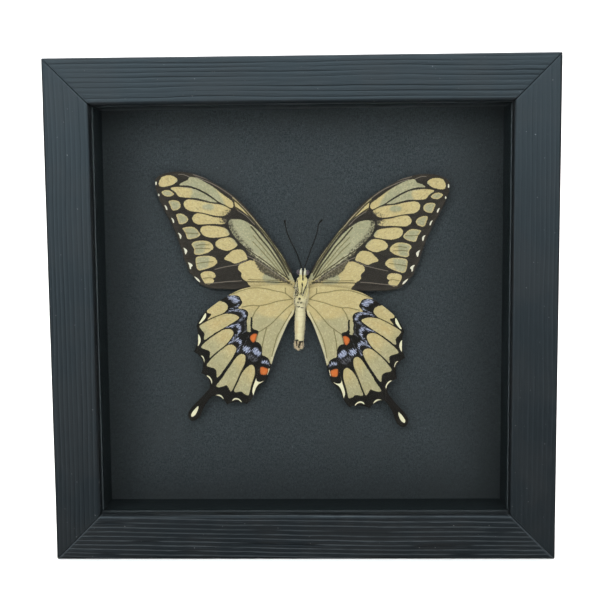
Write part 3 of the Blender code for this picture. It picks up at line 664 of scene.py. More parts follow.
def hindwing_values(at):
    """The marking layers of the hindwing at each (out, up) point."""
    pale = np.minimum(blobs(at, HINDWING_PALE), -blobs(at, HINDWING_BLACK, 1.0))
    panels = np.max([depth_inside(at, spline(ring, 4, closed=True)) for ring in HINDWING_PALE[2:]], axis=0)
    along = (at[:, 0] - 26.0) * 0.75 - (at[:, 1] + 20.0) * 0.66
    from_root = rays(at, HINDWING_ROOT)
    turn, reach = from_root["ray"], from_root["reach"]
    cell_end = 0.65 * soft(reach - 7.5 - 5.5 * soft(turn, -60, -20), 0, 3.0) * soft(-turn, 5, 35)
    cloudy = 0.5 + 0.5 * ripple(at, SEED + 30, 7.0)
    panel_glow = soft(panels, 0.5, 2.6) * (1 - soft(along, 1.0, 8.0))
    inner_glow = 0.3 * (1 - cell_end) * soft(reach, 5.0, 9.0) * soft(turn, -60, -30) * soft(-turn, -4, 12)
    glow = np.where(panels > -0.5, panel_glow, inner_glow)
    panel_green = 0.12 + 0.68 * soft(along, 2.0, 9.0) * (0.6 + 0.4 * cloudy)
    return {
        "dark": -pale - 0.1,
        "green": np.where(panels > -0.5, panel_green, cell_end),
        "vein": lines_away(at, HINDWING_VEINS),
        "crease": lines_away(at, HINDWING_CREASES),
        "edge": depth_inside(at, hindwing_outline()),
        "smoke": soft(blobs(at, HINDWING_DUST, 1.5), -0.5, 0.6),
        "white": blobs(at, HINDWING_WHITE, 1.0) - 0.24,
        "line": np.full(len(at), FAR_AWAY),
        "blue": blobs(at, HINDWING_BLUE, 1.5),
        "orange": blobs(at, HINDWING_ORANGE, 1.5),
        "glow": glow * cloudy,
        "light": soft(-lines_away(at, [INNER_LIGHT]), -0.7, -0.2),
        "hind": np.ones(len(at)),
        **from_root,
    }


# ---------------------------------------------------------------- wings

def wing_sheet(outline, spacing):
    """A triangle lattice cut to an outline, its rim moved onto it: points (out, up) and faces."""
    low, high = outline.min(0) - spacing, outline.max(0) + spacing
    row_step = spacing * math.sqrt(3) / 2
    columns = int((high[0] - low[0]) / spacing) + 2
    rows = int((high[1] - low[1]) / row_step) + 2
    across, up = np.meshgrid(np.arange(columns), np.arange(rows))
    shifted = across + 0.5 * (up % 2)
    grid = np.stack([low[0] + shifted * spacing, low[1] + up * row_step], -1).reshape(-1, 2)
    index = (up * columns + across)
    a, b = index[:-1, :-1], index[:-1, 1:]
    c, d = index[1:, :-1], index[1:, 1:]
    even = (up[:-1, :-1] % 2 == 0)
    first = np.where(even[..., None], np.stack([a, b, c], -1), np.stack([a, b, d], -1))
    second = np.where(even[..., None], np.stack([b, d, c], -1), np.stack([a, d, c], -1))
    faces = np.vstack([first.reshape(-1, 3), second.reshape(-1, 3)])
    faces = faces[inside(grid[faces].mean(1), outline)]
    used, faces = np.unique(faces, return_inverse=True)
    faces = faces.reshape(-1, 3)
    points = grid[used]
    edges = np.sort(np.vstack([faces[:, [0, 1]], faces[:, [1, 2]], faces[:, [2, 0]]]), axis=1)
    unique, counts = np.unique(edges, axis=0, return_counts=True)
    rim = np.unique(unique[counts == 1])
    points[rim] = nearest_on(points[rim], outline)
    return points, faces, unique[counts == 1]


def nearest_on(points, ring):
    """The nearest point of a closed ring to each point."""
    best = np.full(len(points), np.inf)
    found = points.copy()
    for start, end in zip(ring, np.roll(ring, -1, axis=0)):
        run = end - start
        along = np.clip((points - start) @ run / max(run @ run, 1e-12), 0, 1)
        candidate = start + along[:, None] * run
        gap = ((points - candidate) ** 2).sum(1)
        closer = gap < best
        best[closer] = gap[closer]
        found[closer] = candidate[closer]
    return found


def ripple(at, seed, size, count=6):
    """Smooth random waves from -1 to 1, a few sine waves of about the given size."""
    random = np.random.default_rng(seed)
    total = np.zeros(len(at))
    for _ in range(count):
        angle, phase = random.uniform(0, 2 * math.pi, 2)
        length = size * random.uniform(0.7, 1.6)
        along = at[:, 0] * math.cos(angle) + at[:, 1] * math.sin(angle)
        total += np.sin(along * 2 * math.pi / length + phase)
    return total / count


# How wide a raised vein is, how high veins and creases stand, how deep the folds between them are, how
# far the sheet undulates, and how far its markings waver.
VEIN_WIDTH = 0.2
VEIN_HEIGHT = 0.14
CREASE_HEIGHT = 0.07
FOLD_DEPTH = 0.06
FOLD_REACH = 4.0
UNDULATION = 0.18
WAVER = 0.12


def middle_depth(node):
    """How deep the middle of a CAD node lies, in millimetres."""
    low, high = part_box(node)
    return (low.y + high.y) / 2 / MM


def build_wing(name, outline, values_at, lean, side, material, seed, camber):
    """One wing as a thin closed sheet with raised veins, shallow folds and its marking layers."""
    points, faces, rim = wing_sheet(outline, WING_SPACING)
    warp = np.stack([ripple(points, seed + 10, 9.0), ripple(points, seed + 20, 9.0)], -1) * WAVER
    layers = values_at(points + warp)
    plane = middle_depth(name)
    ridge = np.exp(-(layers["vein"] / VEIN_WIDTH) ** 2) * VEIN_HEIGHT
    ridge = ridge + np.exp(-(layers["crease"] / VEIN_WIDTH) ** 2) * CREASE_HEIGHT
    fold = -np.cos(np.minimum(layers["vein"], FOLD_REACH) / FOLD_REACH * math.pi) * FOLD_DEPTH
    forward = camber(points) + ripple(points, seed, 16.0) * UNDULATION + fold
    lift = forward + ridge
    lean_angle = math.radians(lean)
    out = side * points[:, 0]
    x = centre_x() + out * math.cos(lean_angle) + points[:, 1] * math.sin(lean_angle)
    z = centre_z() - out * math.sin(lean_angle) + points[:, 1] * math.cos(lean_angle)
    front = np.stack([x, plane - WING_THICKNESS / 2 - lift, z], -1) * MM
    back = np.stack([x, plane + WING_THICKNESS / 2 - forward, z], -1) * MM
    count = len(points)
    turned = faces if side > 0 else faces[:, ::-1]
    skirt = rim_quads(faces, rim, count)
    skirt = skirt if side > 0 else skirt[:, ::-1]
    all_faces = [*turned, *(turned[:, ::-1] + count), *skirt]
    wing = new_piece(name + "_scaled", np.vstack([front, back]), all_faces, material)
    add_values(wing, **{key: np.tile(value, 2) for key, value in layers.items()})
    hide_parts(name)
    return wing


def rim_quads(faces, rim, count):
    """Quads that join the front rim to the back rim, wound outwards."""
    directed = {(a, b) for face in faces for a, b in zip(face, np.roll(face, -1))}
    return np.array([(b, a, a + count, b + count) if (a, b) in directed else (a, b, b + count, a + count)
                     for a, b in rim])


def centre_x():
    """The thorax's place across the frame, in millimetres."""
    return SPECIMEN_OFFSET[0] + (CAD_BOX[0][0] + CAD_BOX[1][0]) / 2 / MM


def centre_z():
    """The thorax's height in the frame, in millimetres."""
    return SPECIMEN_OFFSET[1] + (CAD_BOX[0][2] + CAD_BOX[1][2]) / 2 / MM


def wing_material():
    """Scaled membrane: cream and grey-green panels on black, with blue dust, orange and white marks."""
    s = Shader("wing_scales", roughness=0.72, IOR=1.2)
    at = s.place()
    grain = s.noise(at, 2.6, 2.0, 0.6)
    fine = s.noise(at, 6.0, 2.0, 0.7)
    coarse = s.noise(at, 1.25, 2.0, 0.65)
    cloud = s.noise(at, 0.2, 3.0, 0.5)
    streak = radial_noise(s, 1.1, 0.55)
    brush = radial_noise(s, 0.62, 0.24)
    hind = s.attribute("hind")
    jitter = s.swing(grain, 0.55)
    dark_depth = s.plus(s.attribute("dark"), jitter)
    # cream, with its warm and its grey-green parts
    cream = s.mix(cloud, (0.415, 0.325, 0.142), (0.50, 0.413, 0.205))
    cream = s.mix(s.times(s.attribute("glow"), 0.75), cream, (0.49, 0.335, 0.135))
    green = s.mix(cloud, (0.255, 0.245, 0.145), (0.335, 0.325, 0.21))
    greenness = s.plus(s.attribute("green"), s.times(jitter, 0.5), clamp=True)
    pale = s.mix(greenness, cream, green)
    pale = s.mix(s.times(s.attribute("light"), 0.6), pale, (0.58, 0.54, 0.37))
    pale = s.mix(s.step(streak, 0.5, 0.75, 0.0, 0.45), pale, (0.17, 0.145, 0.075))
    pale = s.mix(s.step(brush, 0.48, 0.7, 0.0, 0.55), pale, (0.21, 0.18, 0.1))
    pale = s.mix(s.step(coarse, 0.5, 0.75, 0.0, 0.4), pale, (0.66, 0.58, 0.35))
    crease = s.plus(s.attribute("crease"), s.times(jitter, 0.4))
    pale = s.mix(s.step(crease, 0.06, 0.34, 0.82, 0.0), pale, (0.12, 0.097, 0.035))
    # smoke: brown scales sprinkled over the pale ones
    smoke = s.plus(s.attribute("smoke"), s.swing(coarse, 1.6))
    brown = s.mix(s.step(coarse, 0.34, 0.6), (0.115, 0.1, 0.07), (0.026, 0.022, 0.015))
    pale = s.mix(s.step(smoke, 0.22, 0.85, 0.0, 0.93), pale, brown)
    vein = s.plus(s.attribute("vein"), s.times(jitter, 0.3))
    pale = s.mix(s.step(vein, 0.12, 0.32, 0.94, 0.0), pale, (0.04, 0.033, 0.014))
    # the black ground
    black = s.mix(cloud, (0.017, 0.0145, 0.0115), (0.03, 0.0255, 0.0205))
    black = s.mix(s.step(brush, 0.48, 0.75, 0.0, 0.5), black, (0.055, 0.048, 0.04))
    black = s.mix(s.step(s.attribute("edge"), 0.6, 3.0, 0.25, 0.0), black, (0.05, 0.04, 0.029))
    black = s.mix(s.times(hind, 0.72), black, (0.0035, 0.0033, 0.0028))
    dust = s.plus(s.attribute("smoke"), s.swing(brush, 3.0))
    dusty = s.times(s.step(dust, 0.8, 1.5, 0.0, 0.6), hind)
    black = s.mix(dusty, black, (0.2, 0.2, 0.23))
    blue = s.plus(s.attribute("blue"), s.swing(brush, 3.6))
    blue = s.plus(blue, s.swing(grain, 1.6))
    lilac = s.mix(s.step(brush, 0.38, 0.62), (0.13, 0.145, 0.22), (0.43, 0.46, 0.60))
    black = s.mix(s.step(blue, -0.1, 0.7, 0.0, 0.9), black, lilac)
    line = s.plus(s.attribute("line"), s.times(jitter, 0.25))
    colour = s.mix(s.step(dark_depth, -0.09, 0.09), pale, black)
    colour = s.mix(s.step(line, 0.06, 0.24, 0.5, 0.0), colour, (0.3, 0.25, 0.2))
    flame = s.mix(s.step(s.attribute("orange"), 0.0, 0.8), (0.28, 0.07, 0.018), (0.52, 0.125, 0.024))
    flame = s.mix(s.step(coarse, 0.48, 0.8, 0.0, 0.5), flame, (0.4, 0.26, 0.1))
    colour = s.mix(s.step(s.plus(s.attribute("orange"), jitter), -0.08, 0.12), colour, flame)
    white = s.plus(s.attribute("white"), s.times(jitter, 0.4))
    colour = s.mix(s.step(white, -0.06, 0.08), colour, s.mix(hind, (0.66, 0.63, 0.5), (0.68, 0.63, 0.43)))
    s.set("Base Color", s.mix(SCALE_DULLNESS, colour, (0.0, 0.0, 0.0)))
    s.set("Roughness", s.step(s.plus(fine, s.times(streak, 0.5)), 0.4, 1.2, 0.6, 0.85))
    s.bump(s.plus(s.times(grain, 0.6), s.plus(fine, streak)), 0.05, 0.6)
    return s.material


def radial_noise(s, turns, lengths):
    """Streaks that run out from the wing's root."""
    turn = s.times(s.attribute("ray"), turns)
    length = s.times(s.attribute("reach"), lengths)
    return s.noise(s.node("ShaderNodeCombineXYZ", {0: turn, 1: length}).outputs[0], 2.2, 3.0, 0.65)


def build_wings():
    """Both forewings and both hindwings, each bowed a little towards the glass."""
    material = wing_material()
    for number, (side_name, side) in enumerate((("left", -1), ("right", 1))):
        build_wing(f"forewing_{side_name}", forewing_outline(), forewing_values, FOREWING_LEAN, side,
                   material, SEED + 100 * number, lambda p: 0.9 * (p[:, 0] / 60.0) ** 2)
        build_wing(f"hindwing_{side_name}", hindwing_outline(), hindwing_values, HINDWING_LEAN, side,
                   material, SEED + 100 * number + 50, lambda p: 0.5 * np.sin(p[:, 0] / 44.0 * math.pi))


# ---------------------------------------------------------------- body and antennae

# All places on the body are (across, forward, up) in millimetres about the thorax.
LEG_ROUTES = [
    [(1.4, 2.5, 9.3), (2.1, 3.0, 7.6), (1.5, 3.45, 5.2), (1.0, 3.6, 3.6), (0.6, 3.55, 2.1)],
    [(0.5, 3.0, 7.4), (0.95, 3.5, 5.6), (0.65, 3.7, 3.8), (0.3, 3.6, 2.2)],
    [(2.3, 2.3, 5.4), (2.45, 2.7, 3.4), (2.0, 3.2, 1.2), (1.9, 3.0, -0.6), (2.2, 2.2, -2.2)],
]
# Dark marks on the underside of the body: how wide, how strong, and the line that they follow.
BODY_MARKS = [
    (0.24, 1.0, [(0.0, 13.6), (0.05, 10.8), (0.3, 8.5)]), (0.30, 1.0, [(0.2, 9.2), (0.3, 8.6)]),
    (0.22, 1.0, [(0.1, 7.3), (0.1, 6.6)]), (0.20, 0.75, [(0.25, 6.5), (0.2, 4.2), (0.15, 2.4)]),
    (0.26, 0.8, [(-2.1, 8.6), (-1.9, 7.0), (-1.4, 4.0), (-1.2, 2.8)]),
    (0.30, 0.9, [(2.6, 8.4), (1.9, 6.4), (1.2, 4.2), (0.7, 2.2)]),
    (0.55, 1.0, [(-2.3, 4.9), (-2.25, 3.5)]), (0.4, 0.95, [(-2.3, 3.0), (-1.7, 2.2)]),
    (0.3, 0.8, [(-2.6, 1.9), (-2.2, 1.4)]), (0.2, 0.6, [(2.3, 0.6), (2.4, -0.8), (2.2, -2.2)]),
    (0.26, 0.9, [(-2.7, 0.6), (-2.6, -1.2), (-2.3, -2.6)]), (0.18, 0.8, [(-0.4, 3.2), (-0.5, 2.2)]),
    (0.40, 1.0, [(-0.55, 0.8), (-0.45, 0.65)]), (0.36, 1.0, [(-1.05, -0.85), (-0.95, -0.9)]),
    (0.38, 1.0, [(0.2, -1.0), (0.45, -0.9)]), (0.20, 0.8, [(-1.8, -2.5), (-1.0, -2.8), (-0.4, -2.6)]),
    (0.16, 0.7, [(0.1, -3.0), (1.4, -3.1)]), (0.24, 0.28, [(1.95, -8.0), (1.95, -12.0), (1.6, -16.2)]),
    (0.36, 1.0, [(0.3, -17.4), (0.1, -18.6), (-0.1, -19.8)]), (0.34, 0.9, [(-1.6, -16.9), (-0.7, -16.8)]),
    (0.3, 0.8, [(-1.15, -17.5), (-1.0, -18.9)]), (0.28, 0.9, [(0.5, -17.4), (1.4, -17.3)]),
    (0.2, 0.6, [(1.3, -17.8), (1.2, -19.0)]),
]


THORAX = [
    (9.9, 1.3, 1.5, 0, 0.3), (8.8, 2.1, 2.4, 0, 0.1), (7.0, 2.5, 2.9, 0, 0), (5.0, 2.9, 3.1, 0, 0),
    (3.0, 3.1, 3.2, 0, 0), (0.5, 3.05, 3.0, 0, 0), (-1.4, 2.8, 2.7, 0, 0), (-3.0, 1.9, 2.1, 0, 0),
]
ABDOMEN = [
    (-2.2, 1.8, 2.0, 0, 0), (-3.4, 2.0, 2.4, -0.05, 0), (-5.0, 2.12, 2.6, -0.05, 0),
    (-8.0, 2.24, 2.7, -0.05, 0), (-11.0, 2.2, 2.6, -0.05, 0), (-14.0, 2.02, 2.4, -0.05, 0),
    (-16.3, 1.88, 2.1, -0.05, 0), (-17.2, 1.85, 1.8, -0.15, 0),
]
ABDOMEN_RINGS = (-4.6, -6.7, -8.9, -11.1, -13.3, -15.4)
PALP_RADII = (0.4, 0.5, 0.46, 0.3, 0.12)
LEG_RADII = (0.3, 0.36, 0.3, 0.26, 0.2)
BODY_VOXEL = 0.13
BODY_SMOOTHING = 4
# How deep the marks and the rings are pressed in, and how far the skin lies inside its forms.
MARK_DEPTH = 0.16
RING_DEPTH = 0.07
SKIN_INSET = 0.03


def ellipsoid(centre, radii):
    """A closed ball stretched to three radii."""
    sphere = bmesh.new()
    bmesh.ops.create_icosphere(sphere, subdivisions=3, radius=1.0)
    points = [tuple(c + r * p for c, r, p in zip(centre, radii, vertex.co)) for vertex in sphere.verts]
    faces = [tuple(vertex.index for vertex in face.verts) for face in sphere.faces]
    sphere.free()
    return points, faces


def tube(route, radii, sides=12):
    """A closed tube along a smooth route of (across, forward, up) points."""
    path = [Vector(p) for p in spline(route, 5)]
    sizes = np.interp(np.linspace(0, 1, len(path)), np.linspace(0, 1, len(radii)), radii)
    points = []
    for i, (place, size) in enumerate(zip(path, sizes)):
        ahead = (path[min(i + 1, len(path) - 1)] - path[max(i - 1, 0)]).normalized()
        first = ahead.cross(Vector((0, 1, 0))).normalized()
        second = ahead.cross(first)
        for k in range(sides):
            turn = 2 * math.pi * k / sides
            points.append(tuple(place + (first * math.cos(turn) + second * math.sin(turn)) * float(size)))
    return points, ring_faces(len(path), sides)


def ring_faces(rings, sides):
    """Quads that join each ring of points to the next, and a face over each end."""
    faces = []
    for ring in range(rings - 1):
        near, far = ring * sides, (ring + 1) * sides
        for here in range(sides):
            beside = (here + 1) % sides
            faces.append((near + here, near + beside, far + beside, far + here))
    return faces + [tuple(range(sides))[::-1], tuple(range((rings - 1) * sides, rings * sides))]


def loft(stations, sides=28):
    """Oval rings from (up, half width, half depth, across, forward) stations, smoothed between."""
    rings = spline(stations, 5)
    points = []
    for up, half_width, half_depth, across, forward in rings:
        for k in range(sides):
            turn = 2 * math.pi * k / sides
            points.append((across + half_width * math.cos(turn), forward + half_depth * math.sin(turn), up))
    return points, ring_faces(len(rings), sides)


def body_shells():
    """Every rounded form of the body, overlapping the next."""
    shells = [loft(THORAX), loft(ABDOMEN), ellipsoid((0, 0.5, 10.9), (1.7, 1.5, 1.5))]
    for side in (-1, 1):
        shells.append(ellipsoid((1.8 * side, 0.9, 11.6), (0.9, 1.05, 1.1)))
        shells.append(tube([(0.6 * side, 1.3, 9.9), (0.85 * side, 2.1, 11.3), (0.85 * side, 2.2, 12.6),
                            (0.65 * side, 1.9, 13.5)], PALP_RADII))
        shells.append(ellipsoid((1.15 * side, 2.2, 6.4), (0.95, 0.95, 2.5)))
        shells.append(ellipsoid((1.0 * side - 0.3, 2.5, 0.1), (1.15, 0.95, 1.5)))
        shells.append(ellipsoid((2.1 * side, 1.7, -0.6), (0.7, 1.0, 1.9)))
        shells.append(ellipsoid((1.0 * side - 0.2, 0.1, -18.7), (1.15, 1.75, 2.0)))
        for route in LEG_ROUTES:
            shells.append(tube([(side * u, f, v) for u, f, v in route], LEG_RADII))
    shells.append(ellipsoid((-0.4, 0.0, -20.3), (0.75, 0.8, 1.1)))
    return shells


def remeshed(name, shells, voxel, smoothing):
    """Join overlapping closed shells into one even surface: its points and faces, in millimetres."""
    points, faces = [], []
    for shell_points, shell_faces in shells:
        faces += [tuple(i + len(points) for i in face) for face in shell_faces]
        points += shell_points
    mesh = bpy.data.meshes.new(name + "_rough")
    mesh.from_pydata(points, [], faces)
    rough = bpy.data.objects.new(name + "_rough", mesh)
    bpy.context.scene.collection.objects.link(rough)
    face_outward(rough)
    remesh = rough.modifiers.new("remesh", "REMESH")
    remesh.mode = "VOXEL"
    remesh.voxel_size = voxel
    smooth = rough.modifiers.new("smooth", "SMOOTH")
    smooth.factor, smooth.iterations = 0.5, smoothing
    made = bpy.data.meshes.new_from_object(rough.evaluated_get(bpy.context.evaluated_depsgraph_get()))
    result = np.empty(len(made.vertices) * 3)
    made.vertices.foreach_get("co", result)
    normals = np.empty(len(made.vertices) * 3)
    made.vertices.foreach_get("normal", normals)
    made_faces = [tuple(face.vertices) for face in made.polygons]
    bpy.data.objects.remove(rough)
    return result.reshape(-1, 3), normals.reshape(-1, 3), made_faces


def from_body(points, plane, lean=BODY_LEAN, head_turn=HEAD_TURN):
    """World places, in metres, of (across, forward, up) places on the leaning specimen."""
    turn = math.radians(lean)
    u, f, v = np.asarray(points).T
    u = u + head_turn * np.maximum(v, 0.0)
    x = centre_x() + u * math.cos(turn) + v * math.sin(turn)
    z = centre_z() - u * math.sin(turn) + v * math.cos(turn)
    return np.stack([x, plane - f, z], -1) * MM


def build_body():
    """Palps, eyes, folded legs, thorax and ringed abdomen in one skin, with its marks."""
    points, normals, faces = remeshed("body", body_shells(), BODY_VOXEL, BODY_SMOOTHING)
    flat = points[:, [0, 2]]
    front = soft(points[:, 1], -0.3, 0.6)
    dark = np.zeros(len(points))
    for width, strength, line in BODY_MARKS:
        away = line_distance(flat, spline(line, 3))
        dark = np.maximum(dark, strength * soft(-away, -1.6 * width, -0.7 * width))
    dark *= front
    rings = np.zeros(len(points))
    for up in ABDOMEN_RINGS:
        rings = np.maximum(rings, np.exp(-((points[:, 2] - up - 0.12 * points[:, 0] ** 2 / 4) / 0.16) ** 2))
    rough = 0.05 * smooth_noise(points[:, 0] / 0.7 + 9 * points[:, 1], points[:, 2] / 0.9, SEED + 60)
    points = points - normals * (MARK_DEPTH * dark + RING_DEPTH * rings + SKIN_INSET + rough)[:, None]
    plane = middle_depth("body")
    body = new_piece("body_scaled", from_body(points, plane), faces, body_material())
    palps = soft(-np.abs(np.abs(flat[:, 0]) - 0.8), -0.65, -0.45) * soft(flat[:, 1], 10.2, 10.9) * front
    eyes = soft(-np.hypot((np.abs(points[:, 0]) - 1.95) / 1.05, (points[:, 2] - 11.7) / 1.2), -1.05, -0.9)
    tan = soft(-np.abs(points[:, 0] + 1.3), -1.0, 0.0) * soft(-np.abs(points[:, 2] + 11.5), -4.0, -1.5)
    add_values(body, dark=dark, rings=rings, palp=palps, eye=eyes * (1 - palps),
               warm=soft(points[:, 2], -1.0, 3.0), tip=soft(-points[:, 2], 16.6, 17.6), tan=tan)
    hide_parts("body")
    build_hairs(points, normals, plane)


def body_material():
    """Cream scales, yellower on the thorax, with olive-black lines, dark eyes and white palps."""
    s = Shader("body_scales", roughness=0.75, IOR=1.25)
    at = s.place()
    grain = s.noise(at, 3.0, 3.0, 0.65)
    hair = s.noise(s.place((2.2, 1.0, 0.45)), 2.4, 3.0, 0.7)
    cloud = s.noise(at, 0.5, 3.0, 0.6)
    cream = s.mix(cloud, (0.56, 0.49, 0.28), (0.68, 0.62, 0.41))
    yellow = s.mix(cloud, (0.56, 0.47, 0.18), (0.68, 0.6, 0.3))
    cream = s.mix(s.times(s.attribute("warm"), 0.9), cream, yellow)
    cream = s.mix(s.times(s.attribute("tan"), 0.4), cream, (0.6, 0.4, 0.16))
    brown = s.mix(cloud, (0.3, 0.19, 0.09), (0.58, 0.46, 0.33))
    cream = s.mix(s.times(s.attribute("tip"), 0.85), cream, brown)
    cream = s.mix(s.step(hair, 0.52, 0.75, 0.0, 0.22), cream, (0.3, 0.25, 0.12))
    cream = s.mix(s.times(s.attribute("rings"), 0.25), cream, (0.3, 0.22, 0.11))
    cream = s.mix(s.attribute("palp"), cream, (0.6, 0.58, 0.44))
    colour = s.mix(s.attribute("eye"), cream, s.mix(grain, (0.06, 0.05, 0.06), (0.17, 0.145, 0.165)))
    mark = s.plus(s.attribute("dark"), s.swing(grain, 0.5))
    colour = s.mix(s.step(mark, 0.2, 0.75), colour, (0.03, 0.024, 0.014))
    s.set("Base Color", s.mix(SCALE_DULLNESS, colour, (0.0, 0.0, 0.0)))
    s.set("Roughness", s.step(s.attribute("eye"), 0.2, 0.8, 0.8, 0.35))
    s.bump(s.plus(grain, hair), 0.08, 0.7)
    return s.material


HAIR_COUNT = 2600
HAIR_LENGTHS = (0.35, 0.95)
HAIR_WIDTH = 0.035
HAIR_SINK = 0.05
HAIR_FACES = [(0, 2, 1), (0, 3, 2), (2, 3, 1), (1, 3, 4), (0, 4, 3), (0, 1, 4)]


def build_hairs(points, normals, plane):
    """Short pale hairs that lie back along the body."""
    random = np.random.default_rng(SEED)
    hairy = np.flatnonzero((points[:, 1] > -1.2) & (points[:, 2] < 9.8))
    share = np.where(points[hairy, 2] > -3.2, 1.0, 0.25)
    chosen = random.choice(hairy, HAIR_COUNT, p=share / share.sum())
    vertices, faces = [], []
    for place, normal in zip(points[chosen], normals[chosen]):
        length = random.uniform(*HAIR_LENGTHS)
        lie = Vector((random.normal(0, 0.35) + 0.5 * normal[0], 0.15, -1.0)).normalized()
        way = (Vector(normal) * 0.42 + lie).normalized() * float(length)
        across = way.cross(Vector(normal)).normalized() * HAIR_WIDTH
        root = Vector(place) - Vector(normal) * HAIR_SINK
        thick = Vector(normal) * HAIR_WIDTH
        rise = Vector(normal) * float(0.03 * length)
        dip = Vector(normal) * float(0.1 * length)
        first = len(vertices)
        vertices += [root + across, root - across, root + thick, root + way * 0.55 + rise, root + way - dip]
        faces += [tuple(first + corner for corner in face) for face in HAIR_FACES]
    places = from_body([tuple(v) for v in vertices], plane)
    hairs = new_piece("body_hairs", places, faces, hair_material(), smooth=False)


def hair_material():
    """Pale, slightly glossy hair."""
    s = Shader("pale_hair", roughness=0.6, IOR=1.3)
    shade = s.noise(s.place(), 1.3, 2.0)
    s.set("Base Color", s.mix(shade, (0.33, 0.28, 0.15), (0.56, 0.52, 0.38)))
    return s.material


ANTENNA_ROUTES = {
    "left": [(0.5, 12.7), (0.0, 14.9), (-1.4, 19.2), (-4.0, 24.6), (-5.4, 28.0), (-6.1, 31.0),
             (-6.4, 33.3)],
    "right": [(1.3, 12.6), (2.0, 14.4), (4.0, 20.0), (5.8, 24.6), (7.1, 28.7), (7.6, 31.4), (9.1, 33.3)],
}


ANTENNA_SIDES = 10
ANTENNA_RINGS = 170
ANTENNA_RADIUS = 0.24
CLUB_SWELLING = 0.24
RING_STEP = 0.04
ANTENNA_DROOP = 0.8


def build_antennae():
    """Ringed black feelers that thicken to a club."""
    material = antenna_material()
    sides, rings = ANTENNA_SIDES, ANTENNA_RINGS
    for side, route in ANTENNA_ROUTES.items():
        plane = middle_depth(f"antenna_{side}")
        fine = spline(route, 60)
        path = [Vector((x, 0.0, z)) for x, z in fine[np.linspace(0, len(fine) - 1, rings).astype(int)]]
        points = []
        for i, place in enumerate(path):
            share = i / (rings - 1)
            club = soft(np.array(share), 0.86, 0.94) * (1 - 0.75 * soft(np.array(share), 0.97, 1.0))
            radius = ANTENNA_RADIUS + CLUB_SWELLING * float(club) - RING_STEP * (i % 3 == 0)
            ahead = (path[min(i + 1, rings - 1)] - path[max(i - 1, 0)]).normalized()
            across = ahead.cross(Vector((0, 1, 0)))
            droop = ANTENNA_DROOP * (1 - share) ** 2
            for k in range(sides):
                turn = 2 * math.pi * k / sides
                back = Vector((0, radius * math.sin(turn) - droop, 0))
                points.append(place + across * radius * math.cos(turn) + back)
        places = from_body([tuple(point) for point in points], plane, 0.0, 0.0)
        antenna = new_piece(f"antenna_{side}_ringed", places, ring_faces(rings, sides), material)
        face_outward(antenna)
        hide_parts(f"antenna_{side}")


def antenna_material():
    s = Shader("antenna", roughness=0.55, IOR=1.25)
    shade = s.noise(s.place(), 1.8, 3.0, 0.6)
    s.set("Base Color", s.mix(shade, (0.002, 0.0018, 0.0015), (0.009, 0.0075, 0.006)))
    s.bump(shade, 0.05, 0.5)
    return s.material


# ---------------------------------------------------------------- rails

RAIL_FACE = 18.5
REBATE = 6.5
LIP = 4.6
ARRIS = 1.2
INNER_ARRIS = 1.3
REAR_CHAMFER = 0.4
MITRE_GAP = 0.06
CLOSED_GAP = 0.015
JOINT_WIDTH = 0.22
JOINT_DEPTH = 0.05
# The spacing of the grain at the outer and the inner edge, and the depth and half width of its lines.
GRAIN_PITCH = (1.7, 2.15)
GRAIN_DEPTH = 0.13
GRAIN_WIDTH = 0.27
FINE_GRAIN_DEPTH = 0.022
RAIL_STATIONS = 180

# How the grain of each rail runs: its offset across, its drift from end to end, its bow, its strength at
# the two ends of the rail, and how strong the painted highlight on its ridges is.
RAIL_GRAIN = {
    "top": (0.9, 0.3, 0.2, 0.8, 1.0, 0.0),
    "bottom": (0.5, -3.0, 0.7, 1.2, 1.2, 0.9),
    "left": (1.3, 0.5, -0.3, 0.75, 0.85, 0.12),
    "right": (0.2, 0.4, 0.3, 0.15, 0.8, 0.1),
}


def run(start, end, spacing):
    """Points from start towards end, evenly spaced, without the end itself."""
    start, end = np.array(start, float), np.array(end, float)
    count = max(1, round(float(np.linalg.norm(end - start)) / spacing))
    return [start + (end - start) * i / count for i in range(count)]


def rail_section(depth):
    """The L-shaped section: (across, deep) points, outward normals and distances round from the arris."""
    def arc(centre, radius, first, last):
        angles = np.radians(np.linspace(first, last, 8)[:-1])
        return [np.array(centre) + radius * np.array((math.cos(a), -math.sin(a))) for a in angles]

    inner = RAIL_FACE - REBATE
    rear = depth - REAR_CHAMFER
    points = run((0, rear), (0, ARRIS), 0.42) + arc((ARRIS, ARRIS), ARRIS, 180, 90)
    points += run((ARRIS, 0), (RAIL_FACE - INNER_ARRIS, 0), 0.16)
    points += arc((RAIL_FACE - INNER_ARRIS, INNER_ARRIS), INNER_ARRIS, 90, 0)
    points += run((RAIL_FACE, INNER_ARRIS), (RAIL_FACE, LIP), 0.5)
    corners = [(RAIL_FACE, LIP), (inner, LIP), (inner, depth), (REAR_CHAMFER, depth), (0, rear)]
    for start, end in zip(corners, corners[1:]):
        points += run(start, end, 6.0)
    points = np.array(points)
    before, after = np.roll(points, 1, axis=0), np.roll(points, -1, axis=0)
    along = after - before
    normals = np.stack([along[:, 1], -along[:, 0]], -1)
    normals /= np.linalg.norm(normals, axis=1)[:, None]
    steps = np.linalg.norm(points - before, axis=1)
    steps[0] = 0
    around = np.cumsum(steps)
    return points, normals, around - around[np.argmin(np.abs(points).sum(1))]


